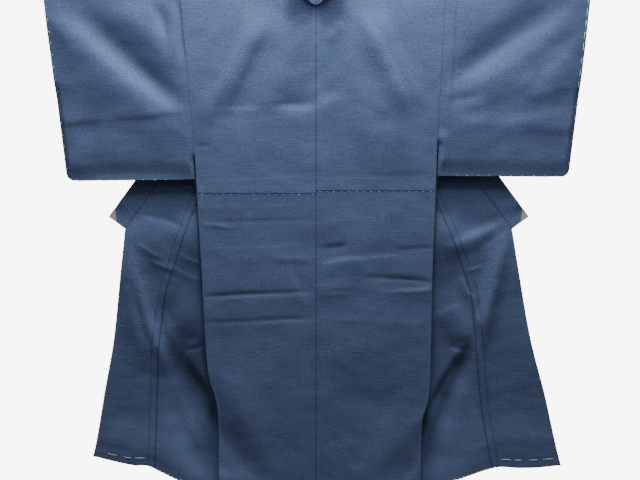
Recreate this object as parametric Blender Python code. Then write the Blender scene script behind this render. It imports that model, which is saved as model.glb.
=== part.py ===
"""A lined silk kimono on a plain rod, back outwards, its fronts opened to the sides.

The rod runs along X through both sleeves. The back faces -Y, and the opened fronts
hang behind it, turned over like lapels, so that their outer faces look to -Y too.
Every cloth piece is a closed wall round a grid of points. A grid is worked out from
the tables below, where "drop" is the height below the rod's axis and "left" and
"right" are distances from the centre line, all in metres.
"""

import math
from collections import namedtuple

import bpy
import bmesh
from mathutils import Vector

# Cloth and seams
CLOTH = 0.0016
COLLAR_CLOTH = 0.0026
TIP_CLOTH = 0.0010
SEAM_GAP = 0.0003

# Rod
ROD_RADIUS = 0.012
ROD_LENGTH = 1.46
ROD_SIDES = 32
ROD_BEVEL = 0.002
LOOP_RADIUS = ROD_RADIUS + 0.0014
LOOP_STEPS = 9

# Lengths of the garment
LENGTH = 1.335
COLLAR_WIDTH = 0.054
COLLAR_END_DROP = 0.622
OKUMI_TOP_DROP = 0.205
ARMHOLE_DROP = {"left": 0.418, "right": 0.377}
CUFF_OPENING_DROP = 0.235
SLEEVE_CORNER = 0.020
TIP_LEG = 0.027
TIP_POINT = 0.05
TIP_ROWS = 3
TIP_EASE = 0.0003
TUCK_DROP = {"left": 0.5265, "right": 0.5190}
TUCK_LIFT = 0.0014
TUCK_REACH = 0.034
TUCK_ROW_ABOVE = 0.0005
TUCK_ROW_BELOW = 0.0025
TUCK_ROW_CLEAR = 0.008

# Depths: a larger one lies further from the viewer of the back
BACK_DEPTH = -0.0122
FRONT_DEPTH = 0.0030
SETTLE_DROP = 0.42
ROLL_RADIUS = 0.0035
ROLL_START_DROP = 0.10
ROLL_ROW_STEP = 0.017
NECK_SPARE = 0.011
NECK_EASE = 0.0009
NECK_EASE_END = 0.25
NECK_EASE_REACH = 0.05
SLEEVE_SEAM_DEPTH = -0.006

# How far the closing of a seam reaches into the cloth beside it
SIDE_SEAM_REACH = 0.030
SIDE_SEAM_START = 0.06
SLEEVE_BOTTOM_REACH = 0.07
SLEEVE_SEAM_REACH = 0.03
CUFF_SEAM_START = 0.05
SLEEVE_FREE_START = 0.03
SLEEVE_FREE_GAP = 0.004

# Folds: a Gaussian across each, and where they fade at an edge
FOLD_SHARPNESS = 1.4
FOLD_END_SHARE = 0.35
BACK_FOLD_FADE = 0.02
WING_FOLD_FADE = 0.05

# Steps of the grids
PANEL_COLUMNS = 6
ROLL_COLUMNS = 3
OKUMI_COLUMNS = 6
SLEEVE_COLUMNS = 9
COLLAR_COLUMNS = 4
ROW_STEP = 0.037
EVEN_BY_DROP = 0.20
CORNER_ROW_SHARES = (0.35, 0.65, 0.85, 1.0)
SHARP_ANGLE = 50

Pair = namedtuple("Pair", "at left right")
Fold = namedtuple("Fold", "x1 drop1 x2 drop2 half_width lift")
Roll = namedtuple("Roll", "along start end")

SIDE_EDGE = [
    Pair(0.00, 0.341, 0.3225),
    Pair(0.20, 0.326, 0.3175),
    Pair(0.38, 0.3135, 0.3110),
    Pair(0.49, 0.3085, 0.3092),
    Pair(0.71, 0.3000, 0.3050),
    Pair(0.92, 0.2927, 0.3043),
    Pair(1.02, 0.2850, 0.3035),
    Pair(1.08, 0.2680, 0.3000),
    Pair(1.14, 0.2630, 0.2850),
    Pair(LENGTH, 0.2660, 0.2845),
]
ROLL_LINE = [
    Pair(0.00, 0.112, 0.112),
    Pair(0.20, 0.142, 0.141),
    Pair(0.35, 0.166, 0.166),
    Pair(0.55, 0.200, 0.203),
    Pair(0.73, 0.230, 0.237),
    Pair(0.92, 0.246, 0.256),
    Pair(1.08, 0.243, 0.266),
    Pair(LENGTH, 0.246, 0.266),
]
COLLAR_SEAM = [
    Pair(0.00, 0.090, 0.090),
    Pair(0.10, 0.143, 0.143),
    Pair(0.20, 0.196, 0.200),
    Pair(0.35, 0.300, 0.310),
    Pair(0.51, 0.415, 0.428),
    Pair(COLLAR_END_DROP, 0.500, 0.514),
]
OKUMI_SEAM = [
    Pair(0.205, 0.1986, 0.2022),
    Pair(0.35, 0.252, 0.256),
    Pair(0.514, 0.3136, 0.3165),
    Pair(0.613, 0.3551, 0.3620),
    Pair(0.734, 0.3976, 0.4090),
    Pair(0.793, 0.4177, 0.4280),
    Pair(0.925, 0.4381, 0.4450),
    Pair(1.10, 0.4500, 0.4640),
    Pair(LENGTH, 0.4590, 0.4990),
]
OKUMI_EDGE = [
    Pair(COLLAR_END_DROP, 0.5005, 0.5135),
    Pair(0.77, 0.5195, 0.5420),
    Pair(0.925, 0.5409, 0.5739),
    Pair(1.10, 0.5740, 0.6210),
    Pair(LENGTH, 0.6091, 0.6687),
]
HEM_RISE = [
    Pair(0.27, 0.000, 0.000),
    Pair(0.37, 0.0147, 0.0145),
    Pair(0.42, 0.038, 0.030),
    Pair(0.46, 0.058, 0.045),
    Pair(0.50, 0.060, 0.055),
    Pair(0.55, 0.071, 0.052),
    Pair(0.61, 0.086, 0.054),
    Pair(0.67, 0.090, 0.061),
]
HEM_RISE_POWER = 8
CUFF = [
    Pair(0.00, 0.684, 0.689),
    Pair(0.19, 0.668, 0.6755),
    Pair(0.47, 0.6440, 0.6525),
    Pair(0.50, 0.6420, 0.6505),
]
SLEEVE_BOTTOM = [
    Pair(0.30, 0.490, 0.481),
    Pair(0.65, 0.4945, 0.484),
]
# The back neck edge goes round the rod: 90 is level with its axis at the back
NECK_EDGE = [
    Pair(-90, 0.090, 0.090),
    Pair(-30, 0.084, 0.084),
    Pair(10, 0.074, 0.074),
    Pair(50, 0.052, 0.052),
    Pair(70, 0.030, 0.030),
    Pair(90, 0.000, 0.000),
]

# Folds: crest from one end to the other, lift towards the viewer of the back
SLEEVE_FOLDS = [
    Fold(-0.680, 0.055, -0.335, 0.275, 0.045, 0.006),
    Fold(-0.610, 0.030, -0.335, 0.215, 0.030, -0.004),
    Fold(-0.600, 0.350, -0.330, 0.380, 0.060, 0.003),
    Fold(0.570, 0.040, 0.330, 0.240, 0.035, -0.005),
    Fold(0.640, 0.060, 0.345, 0.300, 0.050, 0.006),
    Fold(0.600, 0.370, 0.330, 0.350, 0.060, 0.003),
]
BACK_FOLDS = [
    Fold(-0.120, 0.080, -0.250, 0.300, 0.030, -0.004),
    Fold(0.110, 0.120, 0.235, 0.300, 0.030, -0.004),
    Fold(-0.050, 0.100, -0.180, 0.240, 0.040, 0.003),
    Fold(0.030, 0.160, 0.090, 0.070, 0.030, 0.004),
    Fold(-0.255, 0.297, 0.040, 0.302, 0.022, 0.004),
    Fold(-0.290, 0.490, 0.290, 0.486, 0.022, 0.003),
    Fold(-0.280, 0.770, -0.120, 0.800, 0.030, 0.004),
    Fold(0.290, 0.700, 0.150, 0.730, 0.030, 0.003),
    Fold(0.030, 1.090, 0.270, 1.085, 0.026, 0.004),
    Fold(-0.235, 1.090, -0.120, 1.270, 0.030, -0.005),
]
WING_FOLDS = [
    Fold(-0.500, 0.620, -0.370, 0.610, 0.022, 0.006),
    Fold(-0.495, 0.640, -0.440, 0.880, 0.020, 0.007),
    Fold(-0.460, 0.700, -0.325, 0.770, 0.026, -0.007),
    Fold(-0.420, 0.940, -0.350, 0.890, 0.024, 0.006),
    Fold(-0.385, 0.930, -0.290, 1.140, 0.034, -0.014),
    Fold(-0.520, 0.950, -0.540, 1.230, 0.040, 0.005),
    Fold(0.500, 0.610, 0.370, 0.660, 0.024, 0.007),
    Fold(0.500, 0.650, 0.455, 0.870, 0.020, 0.006),
    Fold(0.470, 0.740, 0.380, 0.780, 0.026, -0.006),
    Fold(0.430, 0.890, 0.365, 0.840, 0.024, 0.006),
    Fold(0.415, 0.930, 0.330, 1.120, 0.034, -0.014),
    Fold(0.560, 0.960, 0.600, 1.240, 0.040, 0.005),
]
# The collar leaves its seam at one angle and ends at another: 0 is flat beside
# the panel, 180 is folded back onto it. The distance runs from the centre back.
COLLAR_ROLL = [
    Roll(0.000, 172, 181),
    Roll(0.030, 112, 190),
    Roll(0.056, 88, 182),
    Roll(0.075, 70, 140),
    Roll(0.100, 50, 95),
    Roll(0.125, 30, 50),
    Roll(0.160, 10, 15),
    Roll(0.200, 0, 0),
]

# Finishes: colour, roughness, metallic
FINISHES = {
    "navy_silk": ((0.034, 0.072, 0.160), 0.62, 0.0),
    "grey_lining": ((0.170, 0.165, 0.185), 0.70, 0.0),
    "pale_wood": ((0.520, 0.380, 0.240), 0.50, 0.0),
}


def clear_scene():
    for item in list(bpy.data.objects):
        bpy.data.objects.remove(item, do_unlink=True)


def finish(name):
    """A plain Principled material from the table of finishes."""
    found = bpy.data.materials.get(name)
    if found:
        return found
    colour, roughness, metallic = FINISHES[name]
    made = bpy.data.materials.new(name)
    made.use_nodes = True
    shader = made.node_tree.nodes["Principled BSDF"]
    shader.inputs["Base Color"].default_value = (*colour, 1.0)
    shader.inputs["Roughness"].default_value = roughness
    shader.inputs["Metallic"].default_value = metallic
    return made


def ease(value):
    """A smooth step from 0 to 1."""
    value = min(max(value, 0.0), 1.0)
    return value * value * (3.0 - 2.0 * value)


def read(table, at, column):
    """A column's value on a smooth curve through the table's rows."""
    keys = [row[0] for row in table]
    values = [getattr(row, column) for row in table]
    if at <= keys[0]:
        return values[0]
    if at >= keys[-1]:
        return values[-1]
    low = max(index for index, key in enumerate(keys) if key <= at)
    slopes = []
    for index in (low, low + 1):
        before = max(index - 1, 0)
        after = min(index + 1, len(keys) - 1)
        slopes.append((values[after] - values[before]) / (keys[after] - keys[before]))
    span = keys[low + 1] - keys[low]
    part = (at - keys[low]) / span
    rise = values[low + 1] - values[low]
    curve = part * part * (3.0 - 2.0 * part)
    bend_low = part * (1.0 - part) ** 2 * slopes[0] * span
    bend_high = part * part * (part - 1.0) * slopes[1] * span
    return values[low] + rise * curve + bend_low + bend_high


def fold_lift(folds, x, drop):
    """How far the folds lift a point towards the viewer of the back."""
    total = 0.0
    for fold in folds:
        run_x = fold.x2 - fold.x1
        run_drop = fold.drop2 - fold.drop1
        length = math.hypot(run_x, run_drop)
        along = ((x - fold.x1) * run_x + (drop - fold.drop1) * run_drop) / length
        off = ((x - fold.x1) * run_drop - (drop - fold.drop1) * run_x) / length
        past = max(-along, along - length, 0.0)
        spread = math.hypot(off, past) / fold.half_width
        taper = ease(min(along, length - along) / (FOLD_END_SHARE * length) + FOLD_END_SHARE)
        total += fold.lift * taper * math.exp(-FOLD_SHARPNESS * spread * spread)
    return total


def settle(drop):
    """From 0 at the rod to 1 where the layers have come together."""
    return ease(drop / SETTLE_DROP)


def tuck_lift(side, drop):
    """The tuck sewn across the back: its lower edge stands on the cloth below."""
    above = TUCK_DROP[side] - drop
    if above < 0.0 or above > TUCK_REACH:
        return 0.0
    return TUCK_LIFT * ease((TUCK_REACH - above) / TUCK_REACH)


def back_rows(side):
    """Drops of the back's rows, from the hem up, with two close to the tuck's edge."""
    tuck = TUCK_DROP[side]
    rows = [drop for drop in drops(0.0, LENGTH, ROW_STEP)[1:] if abs(drop - tuck) > TUCK_ROW_CLEAR]
    rows += [tuck - TUCK_ROW_ABOVE, tuck + TUCK_ROW_BELOW]
    return sorted(rows, reverse=True)


def back_depth(drop):
    return -LOOP_RADIUS + (BACK_DEPTH + LOOP_RADIUS) * settle(drop)


def front_depth(drop):
    return LOOP_RADIUS + (FRONT_DEPTH - LOOP_RADIUS) * settle(drop)


def lowered(side, out, drop):
    """The drop of a point once the hem's rise is taken off."""
    rise = read(HEM_RISE, out, side)
    return drop - rise * (drop / LENGTH) ** HEM_RISE_POWER


def signed(side, out):
    return -out if side == "left" else out


def place(side, out, depth, drop):
    return Vector((signed(side, out), depth, -drop))


def drops(first, last, step):
    """Even rows from one drop to another."""
    count = max(1, round((last - first) / step))
    return [first + (last - first) * index / count for index in range(count + 1)]


def grid_normals(grid):
    """A unit normal at every point of a grid, from its neighbours."""
    rows = len(grid)
    columns = len(grid[0])
    normals = []
    for row in range(rows):
        line = []
        for column in range(columns):
            down = grid[min(row + 1, rows - 1)][column] - grid[max(row - 1, 0)][column]
            across = grid[row][min(column + 1, columns - 1)] - grid[row][max(column - 1, 0)]
            line.append(down.cross(across).normalized())
        normals.append(line)
    return normals


def wall(name, grid, thickness, material):
    """A closed wall of even thickness round a grid of points."""
    normals = grid_normals(grid)
    mesh = bmesh.new()
    layers = []
    for sign in (1.0, -1.0):
        layer = []
        for line, line_normals in zip(grid, normals):
            pairs = zip(line, line_normals)
            layer.append([mesh.verts.new(point + normal * sign * thickness / 2) for point, normal in pairs])
        layers.append(layer)
    front, back = layers
    rows = len(grid)
    columns = len(grid[0])
    for row in range(rows - 1):
        for column in range(columns - 1):
            corners = [(row, column), (row, column + 1), (row + 1, column + 1), (row + 1, column)]
            mesh.faces.new([front[r][c] for r, c in corners])
            mesh.faces.new([back[r][c] for r, c in reversed(corners)])
    rim = [(0, column) for column in range(columns)]
    rim += [(row, columns - 1) for row in range(1, rows)]
    rim += [(rows - 1, column) for column in range(columns - 2, -1, -1)]
    rim += [(row, 0) for row in range(rows - 2, 0, -1)]
    for here, there in zip(rim, rim[1:] + rim[:1]):
        edge = [back[here[0]][here[1]], back[there[0]][there[1]]]
        edge += [front[there[0]][there[1]], front[here[0]][here[1]]]
        mesh.faces.new(edge)
    bmesh.ops.recalc_face_normals(mesh, faces=mesh.faces)
    return add_object(name, mesh, material)


def add_object(name, mesh, material):
    data = bpy.data.meshes.new(name)
    mesh.to_mesh(data)
    mesh.free()
    data.shade_smooth()
    data.set_sharp_from_angle(angle=math.radians(SHARP_ANGLE))
    data.materials.append(finish(material))
    made = bpy.data.objects.new(name, data)
    bpy.context.scene.collection.objects.link(made)
    return made


def loop_point(out, angle, side):
    """A point on the cloth's turn over the rod, 90 degrees being the back."""
    turn = math.radians(angle)
    depth = -LOOP_RADIUS * math.sin(turn)
    return place(side, out, depth, -LOOP_RADIUS * math.cos(turn))


def wing_width(side, drop):
    """The width of the front beyond the roll line, up to its seam."""
    if drop < ROLL_START_DROP:
        full = wing_width(side, ROLL_START_DROP)
        return NECK_SPARE + (full - NECK_SPARE) * drop / ROLL_START_DROP
    table = COLLAR_SEAM if drop < OKUMI_TOP_DROP else OKUMI_SEAM
    return read(table, drop, side) - SEAM_GAP / 2 - read(ROLL_LINE, drop, side)


def front_path(side, drop):
    """Points from the side seam in to the roll line, round it, and out to the seam."""
    outer = read(SIDE_EDGE, drop, side)
    roll = read(ROLL_LINE, drop, side)
    layer = front_depth(drop)
    sewn_depth = back_depth(drop) + CLOTH + SEAM_GAP
    sewn = ease((drop - ARMHOLE_DROP[side]) / SIDE_SEAM_START)
    points = []
    for column in range(PANEL_COLUMNS + 1):
        share = column / PANEL_COLUMNS
        out = outer + (roll - outer) * share
        joined = sewn * (1.0 - ease((outer - out) / SIDE_SEAM_REACH))
        points.append((out, layer + (sewn_depth - layer) * joined))
    turn = math.pi * ease(drop / ROLL_START_DROP)
    arc = math.pi * ROLL_RADIUS
    out, depth = points[-1]
    for column in range(ROLL_COLUMNS):
        heading = turn * (column + 0.5) / ROLL_COLUMNS
        out -= math.cos(heading) * arc / ROLL_COLUMNS
        depth += math.sin(heading) * arc / ROLL_COLUMNS
        points.append((out, depth))
    start_out, start_depth = points[-1]
    width = wing_width(side, drop)
    for column in range(1, PANEL_COLUMNS + 1):
        step = width * column / PANEL_COLUMNS
        out = start_out - math.cos(turn) * step
        depth = start_depth + math.sin(turn) * step
        if drop >= ROLL_START_DROP:
            depth = wing_depth(side, out, drop)
        points.append((out, depth))
    return points


def wing_depth(side, out, drop):
    """The depth of the opened front's outer layer."""
    lift = fold_lift(WING_FOLDS, signed(side, out), drop)
    roll = read(ROLL_LINE, drop, side)
    return front_depth(drop) + rolled_depth() - lift * ease((out - roll) / WING_FOLD_FADE)


def rolled_depth():
    """How far the outer layer lies behind the inner one, past the stepped roll."""
    step = math.pi * ROLL_RADIUS / ROLL_COLUMNS
    return step * sum(math.sin(math.pi * (column + 0.5) / ROLL_COLUMNS) for column in range(ROLL_COLUMNS))


def panel_shares(side):
    """Shares of the panel's width taken by each column at the rod."""
    points = front_path(side, 0.0)
    first = points[0][0]
    last = points[-1][0]
    return [(first - out) / (first - last) for out, depth in points]


def body_grid(side):
    """One strip from the back hem over the rod and down to the front hem."""
    shares = panel_shares(side)
    count = len(shares) - 1
    grid = []
    for drop in back_rows(side):
        outer = read(SIDE_EDGE, drop, side)
        inner = SEAM_GAP / 2
        even = ease(drop / EVEN_BY_DROP)
        line = []
        for column in range(count + 1):
            share = shares[column] * (1.0 - even) + even * column / count
            out = outer + (inner - outer) * share
            lift = fold_lift(BACK_FOLDS, signed(side, out), drop)
            lift += tuck_lift(side, drop)
            lift *= ease((outer - out) / BACK_FOLD_FADE)
            line.append(place(side, out, back_depth(drop) - lift, drop))
        grid.append(line)
    for step in range(LOOP_STEPS + 1):
        angle = 90.0 - 180.0 * step / LOOP_STEPS
        outer = read(SIDE_EDGE, 0.0, side)
        inner = max(read(NECK_EDGE, angle, side), SEAM_GAP / 2)
        grid.append([loop_point(outer + (inner - outer) * share, angle, side) for share in shares])
    rows = drops(0.0, ROLL_START_DROP, ROLL_ROW_STEP)[1:]
    rows += drops(ROLL_START_DROP, OKUMI_TOP_DROP, ROW_STEP)[1:]
    rows += drops(OKUMI_TOP_DROP, LENGTH, ROW_STEP)[1:]
    for drop in rows:
        line = []
        for out, depth in front_path(side, drop):
            line.append(place(side, out, depth, lowered(side, out, drop)))
        grid.append(line)
    return grid


def okumi_grid(side):
    """The overlap panel, from its point at the collar down to the hem."""
    grid = []
    for drop in drops(OKUMI_TOP_DROP, LENGTH, ROW_STEP):
        inner = read(OKUMI_SEAM, drop, side) + SEAM_GAP / 2
        table = COLLAR_SEAM if drop < COLLAR_END_DROP else OKUMI_EDGE
        outer = read(table, drop, side) - SEAM_GAP / 2
        line = []
        for column in range(OKUMI_COLUMNS + 1):
            out = inner + (outer - inner) * column / OKUMI_COLUMNS
            line.append(place(side, out, wing_depth(side, out, drop), lowered(side, out, drop)))
        grid.append(line)
    return grid


def sleeve_outline(side, drop):
    """The sleeve's inner and outer edges, with its rounded lower corner."""
    inner = read(SIDE_EDGE, drop, side) + SEAM_GAP
    inner += SLEEVE_FREE_GAP * ease((drop - ARMHOLE_DROP[side]) / SLEEVE_FREE_START)
    outer = read(CUFF, drop, side)
    bottom = read(SLEEVE_BOTTOM, outer, side)
    below = drop - (bottom - SLEEVE_CORNER)
    if below > 0.0:
        below = min(below, SLEEVE_CORNER)
        outer -= SLEEVE_CORNER - math.sqrt(SLEEVE_CORNER ** 2 - below ** 2)
    return inner, outer


def sleeve_point(side, share, drop, layer):
    """A point of the sleeve's back or front layer."""
    inner, outer = sleeve_outline(side, drop)
    out = inner + (outer - inner) * share
    bottom = read(SLEEVE_BOTTOM, out, side)
    back = back_depth(drop)
    front = front_depth(drop)
    low = ease((drop - bottom + SLEEVE_BOTTOM_REACH) / SLEEVE_BOTTOM_REACH)
    at_cuff = ease((drop - CUFF_OPENING_DROP) / CUFF_SEAM_START)
    at_cuff *= 1.0 - ease((outer - out) / SLEEVE_SEAM_REACH)
    at_body = ease((drop - ARMHOLE_DROP[side]) / SLEEVE_FREE_START)
    at_body *= 1.0 - ease((out - inner) / SLEEVE_SEAM_REACH)
    closed = max(low, at_cuff, at_body)
    half_gap = (CLOTH + SEAM_GAP) / 2
    if layer == "back":
        depth = back + (SLEEVE_SEAM_DEPTH - half_gap - back) * closed
        depth -= fold_lift(SLEEVE_FOLDS, signed(side, out), drop) * (1.0 - closed)
    else:
        depth = front + (SLEEVE_SEAM_DEPTH + half_gap - front) * closed
    return place(side, out, depth, min(drop, bottom))


def sleeve_grid(side):
    """One strip from the sleeve's front bottom over the rod to its back bottom."""
    bottom = max(getattr(row, side) for row in SLEEVE_BOTTOM)
    rows = drops(0.0, bottom - SLEEVE_CORNER, ROW_STEP)[1:]
    rows += [bottom - SLEEVE_CORNER * (1.0 - share) for share in CORNER_ROW_SHARES]
    shares = [column / SLEEVE_COLUMNS for column in range(SLEEVE_COLUMNS + 1)]
    grid = [[sleeve_point(side, share, drop, "back") for share in shares] for drop in reversed(rows)]
    for step in range(LOOP_STEPS + 1):
        angle = 90.0 - 180.0 * step / LOOP_STEPS
        inner, outer = sleeve_outline(side, 0.0)
        grid.append([loop_point(inner + (outer - inner) * share, angle, side) for share in shares])
    grid += [[sleeve_point(side, share, drop, "front") for share in shares] for drop in rows]
    return grid


def collar_edge(side, body, okumi):
    """The edge that carries the collar: points and outward normals from the centre back."""
    rows_back = len(back_rows(side))
    body_normals = grid_normals(body)
    okumi_normals = grid_normals(okumi)
    sign = -1.0 if side == "left" else 1.0
    points = []
    for row in range(rows_back, len(body)):
        if row > rows_back + LOOP_STEPS and -body[row][-1].z > OKUMI_TOP_DROP - SEAM_GAP:
            break
        points.append((body[row][-1], body_normals[row][-1] * sign))
    for row in range(len(okumi)):
        if -okumi[row][-1].z > COLLAR_END_DROP:
            break
        points.append((okumi[row][-1], okumi_normals[row][-1] * sign))
    return points


def collar_lines(side, body, okumi):
    """Lines across the collar, from its seam to its free edge."""
    edge = collar_edge(side, body, okumi)
    end = place(side, read(COLLAR_SEAM, COLLAR_END_DROP, side), 0.0, COLLAR_END_DROP)
    end.y = wing_depth(side, abs(end.x), COLLAR_END_DROP)
    edge.append((end, edge[-1][1]))
    lines = []
    along = 0.0
    for index, (point, normal) in enumerate(edge):
        before = edge[max(index - 1, 0)][0]
        after = edge[min(index + 1, len(edge) - 1)][0]
        if index > 0:
            along += (point - before).length
        tangent = (after - before).normalized()
        beside = tangent.cross(normal).normalized()
        if side == "right":
            beside.negate()
        if index == 0:
            beside = Vector((0.0, 0.0, 1.0))
        start = math.radians(read(COLLAR_ROLL, along, "start"))
        stop = math.radians(read(COLLAR_ROLL, along, "end"))
        loose = SEAM_GAP + NECK_EASE * ease((NECK_EASE_END - along) / NECK_EASE_REACH)
        lines.append(collar_line(point, beside, normal, start, stop, loose))
    return lines


def collar_line(point, beside, normal, start, stop, loose):
    """One line across the collar, turning evenly from its start to its end angle."""
    clear = loose + CLOTH / 2 * math.sin(start)
    if start > math.pi / 2:
        first = point + normal * (CLOTH / 2 + loose - COLLAR_CLOTH / 2 * math.cos(start))
    else:
        first = point + (beside * math.cos(start) + normal * math.sin(start)) * clear
    line = [first]
    for column in range(COLLAR_COLUMNS):
        heading = start + (stop - start) * (column + 0.5) / COLLAR_COLUMNS
        step = beside * math.cos(heading) + normal * math.sin(heading)
        line.append(line[-1] + step * COLLAR_WIDTH / COLLAR_COLUMNS)
    return line


def build_collar(grids):
    """The collar in one long band, from one end round the neck to the other."""
    left = collar_lines("left", grids["body_left"], grids["okumi_left"])
    right = collar_lines("right", grids["body_right"], grids["okumi_right"])
    centre = [(a + b) / 2 for a, b in zip(left[0], right[0])]
    grid = list(reversed(left[1:])) + [centre] + right[1:]
    wall("collar", grid, COLLAR_CLOTH, "navy_silk")
    return grid


def on_collar(last, before, along, across):
    """A point of the collar near its end, by lengths from its free corner."""
    along_share = along / (last[-1] - before[-1]).length
    step = COLLAR_WIDTH / COLLAR_COLUMNS
    column = min(int(across / step), COLLAR_COLUMNS - 1)
    across_share = across / step - column
    points = []
    for line in (last, before):
        points.append(line[-1 - column].lerp(line[-2 - column], across_share))
    return points[0].lerp(points[1], along_share)


def build_collar_tip(side, last, before):
    """The lining's corner that shows at the collar's end, lying on the collar."""
    normal = (last[0] - last[-1]).cross(before[-1] - last[-1]).normalized()
    if normal.y > 0.0:
        normal.negate()
    out = normal * (COLLAR_CLOTH / 2 + SEAM_GAP + TIP_CLOTH / 2 + TIP_EASE)
    grid = []
    for row in range(TIP_ROWS + 1):
        along = TIP_LEG * row / TIP_ROWS
        reach = TIP_LEG - along * (1.0 - TIP_POINT)
        columns = [reach * column / TIP_ROWS for column in range(TIP_ROWS + 1)]
        grid.append([on_collar(last, before, along, across) + out for across in columns])
    wall("collar_tip_" + side, grid, TIP_CLOTH, "grey_lining")


def build_rod():
    """The plain rod through both sleeves, its ends softly rounded."""
    mesh = bmesh.new()
    bmesh.ops.create_cone(
        mesh,
        cap_ends=True,
        segments=ROD_SIDES,
        radius1=ROD_RADIUS,
        radius2=ROD_RADIUS,
        depth=ROD_LENGTH,
    )
    ends = [edge for edge in mesh.edges if edge.calc_length() < ROD_RADIUS]
    bmesh.ops.bevel(mesh, geom=ends, offset=ROD_BEVEL, segments=2, affect="EDGES", profile=0.5)
    rotation = Vector((0.0, 0.0, 1.0)).rotation_difference(Vector((1.0, 0.0, 0.0)))
    bmesh.ops.rotate(mesh, verts=mesh.verts, cent=(0.0, 0.0, 0.0), matrix=rotation.to_matrix())
    add_object("rod", mesh, "pale_wood")


def main():
    clear_scene()
    build_rod()
    grids = {}
    for side in ("left", "right"):
        grids["body_" + side] = body_grid(side)
        grids["okumi_" + side] = okumi_grid(side)
        grids["sleeve_" + side] = sleeve_grid(side)
    for name, grid in grids.items():
        wall(name, grid, CLOTH, "navy_silk")
    collar = build_collar(grids)
    build_collar_tip("left", collar[0], collar[1])
    build_collar_tip("right", collar[-1], collar[-2])


main()
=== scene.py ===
"""The looks of a lined silk kimono on a plain rod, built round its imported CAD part.

The back faces -Y, and the opened fronts hang behind it, turned over like lapels, so that
their outer faces look to -Y too. Each cloth piece is a closed thin wall round a fine grid of
points. The tables repeat the part's own sizes, where "drop" is the height below the rod's
axis and "left" and "right" are distances from the centre line, all in metres.
"""

import math
from collections import namedtuple

import bpy
import numpy as np
from bpy.props import FloatProperty, FloatVectorProperty, PointerProperty
from bpy.types import Operator, Panel, PropertyGroup
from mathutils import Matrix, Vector


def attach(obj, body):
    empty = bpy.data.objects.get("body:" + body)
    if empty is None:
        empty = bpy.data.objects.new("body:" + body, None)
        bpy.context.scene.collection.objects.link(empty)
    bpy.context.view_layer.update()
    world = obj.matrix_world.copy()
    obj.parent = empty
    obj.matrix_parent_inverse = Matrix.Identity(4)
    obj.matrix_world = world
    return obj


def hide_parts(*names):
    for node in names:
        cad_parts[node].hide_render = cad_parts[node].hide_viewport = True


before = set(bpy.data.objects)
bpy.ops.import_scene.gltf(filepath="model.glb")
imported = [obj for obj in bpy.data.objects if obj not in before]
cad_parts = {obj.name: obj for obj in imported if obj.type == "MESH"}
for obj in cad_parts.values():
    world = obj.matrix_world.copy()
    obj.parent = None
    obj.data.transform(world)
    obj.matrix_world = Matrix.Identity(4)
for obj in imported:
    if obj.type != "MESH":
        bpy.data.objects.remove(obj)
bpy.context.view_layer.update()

bl_info = {
    "name": "Kimono on a rod",
    "version": (1, 0, 0),
    "blender": (4, 5, 0),
    "location": "3D View > Sidebar > Kimono",
    "description": "Builds the cloth, the basting and the stage of a kimono on a rod",
    "category": "Object",
}

SIDES = ("left", "right")
MILLIMETRE = 0.001
SEWN_STEP = 0.0017

# Rod
ROD_RADIUS = 0.012
LOOP_RADIUS = ROD_RADIUS + 0.0014
LOOP_STEPS = 14

# Lengths of the garment
LENGTH = 1.335
COLLAR_WIDTH = 0.054
COLLAR_END_DROP = 0.622
OKUMI_TOP_DROP = 0.205
ARMHOLE_DROP = {"left": 0.418, "right": 0.377}
CUFF_OPENING_DROP = 0.235
SLEEVE_CORNER = 0.020
TIP_LEG = 0.027
TIP_CLEAR = 0.0006
TIP_TAPER = 0.96
TUCK_DROP = {"left": 0.5265, "right": 0.5190}
TUCK_LIFT = 0.0007
TUCK_REACH = 0.030
TUCK_ROWS = (-0.0012, -0.0002, 0.0009, 0.0022)
TUCK_MIDDLE = 0.0005
TUCK_LINE_BELOW = 0.0006
TUCK_CLEAR = 0.0025
ALLOWANCE = 0.0185
SLEEVE_ALLOWANCE = 0.030
TURNING_START = 0.05

# Depths: a larger one lies further from the viewer of the back
BACK_DEPTH = -0.0122
FRONT_DEPTH = 0.0030
SETTLE_DROP = 0.42
ROLL_RADIUS = 0.0035
ROLL_START_DROP = 0.10
ROLLED_DEPTH = 0.0072
WING_ROOM = 0.0035
NECK_SPARE = 0.011
NECK_EASE = 0.0009
NECK_EASE_END = 0.25
NECK_EASE_REACH = 0.05
SLEEVE_SEAM_DEPTH = -0.006

# How far the closing of a seam reaches into the cloth beside it
SIDE_SEAM_REACH = 0.030
SIDE_SEAM_START = 0.06
SLEEVE_BOTTOM_REACH = 0.05
SLEEVE_SEAM_REACH = 0.014
CUFF_SEAM_START = 0.05
SLEEVE_FREE_START = 0.03
SLEEVE_FREE_GAP = 0.004
EVEN_BY_DROP = 0.20

# How the folds fade near edges and seams
BACK_FOLD_FADE = 0.008
FREE_EDGE_FOLD = 0.35
WING_FOLD_FADE = 0.05
BOTTOM_FOLD_FADE = 0.02
BOTTOM_FOLD_LEFT = 0.15
CLOSED_FOLD_LOSS = 0.8
FRONT_FOLD_SHARE = 0.6
HIDDEN_MARGIN = 0.012
HIDDEN_REACH = 0.014
WING_LEVEL_REACH = 0.03

# Steps of the grids, and the distances from a seam at which columns always lie
ROW_STEP = 0.004
FIXED_SHARE = 0.7
SEAM_COLUMNS = (0.0, 0.0011, 0.0024, 0.0050)
PAIR_COLUMNS = SEAM_COLUMNS + (0.0110, 0.0162, 0.0176, 0.0185, 0.0194, 0.0208, 0.0245)
FRONT_COLUMNS = 9
ROLL_COLUMNS = 5
WING_COLUMNS = 38
OKUMI_COLUMNS = 30
SLEEVE_COLUMNS = 70
COLLAR_COLUMNS = 10
TIP_ROWS = 9
SHARP_ANGLE = 50

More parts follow.
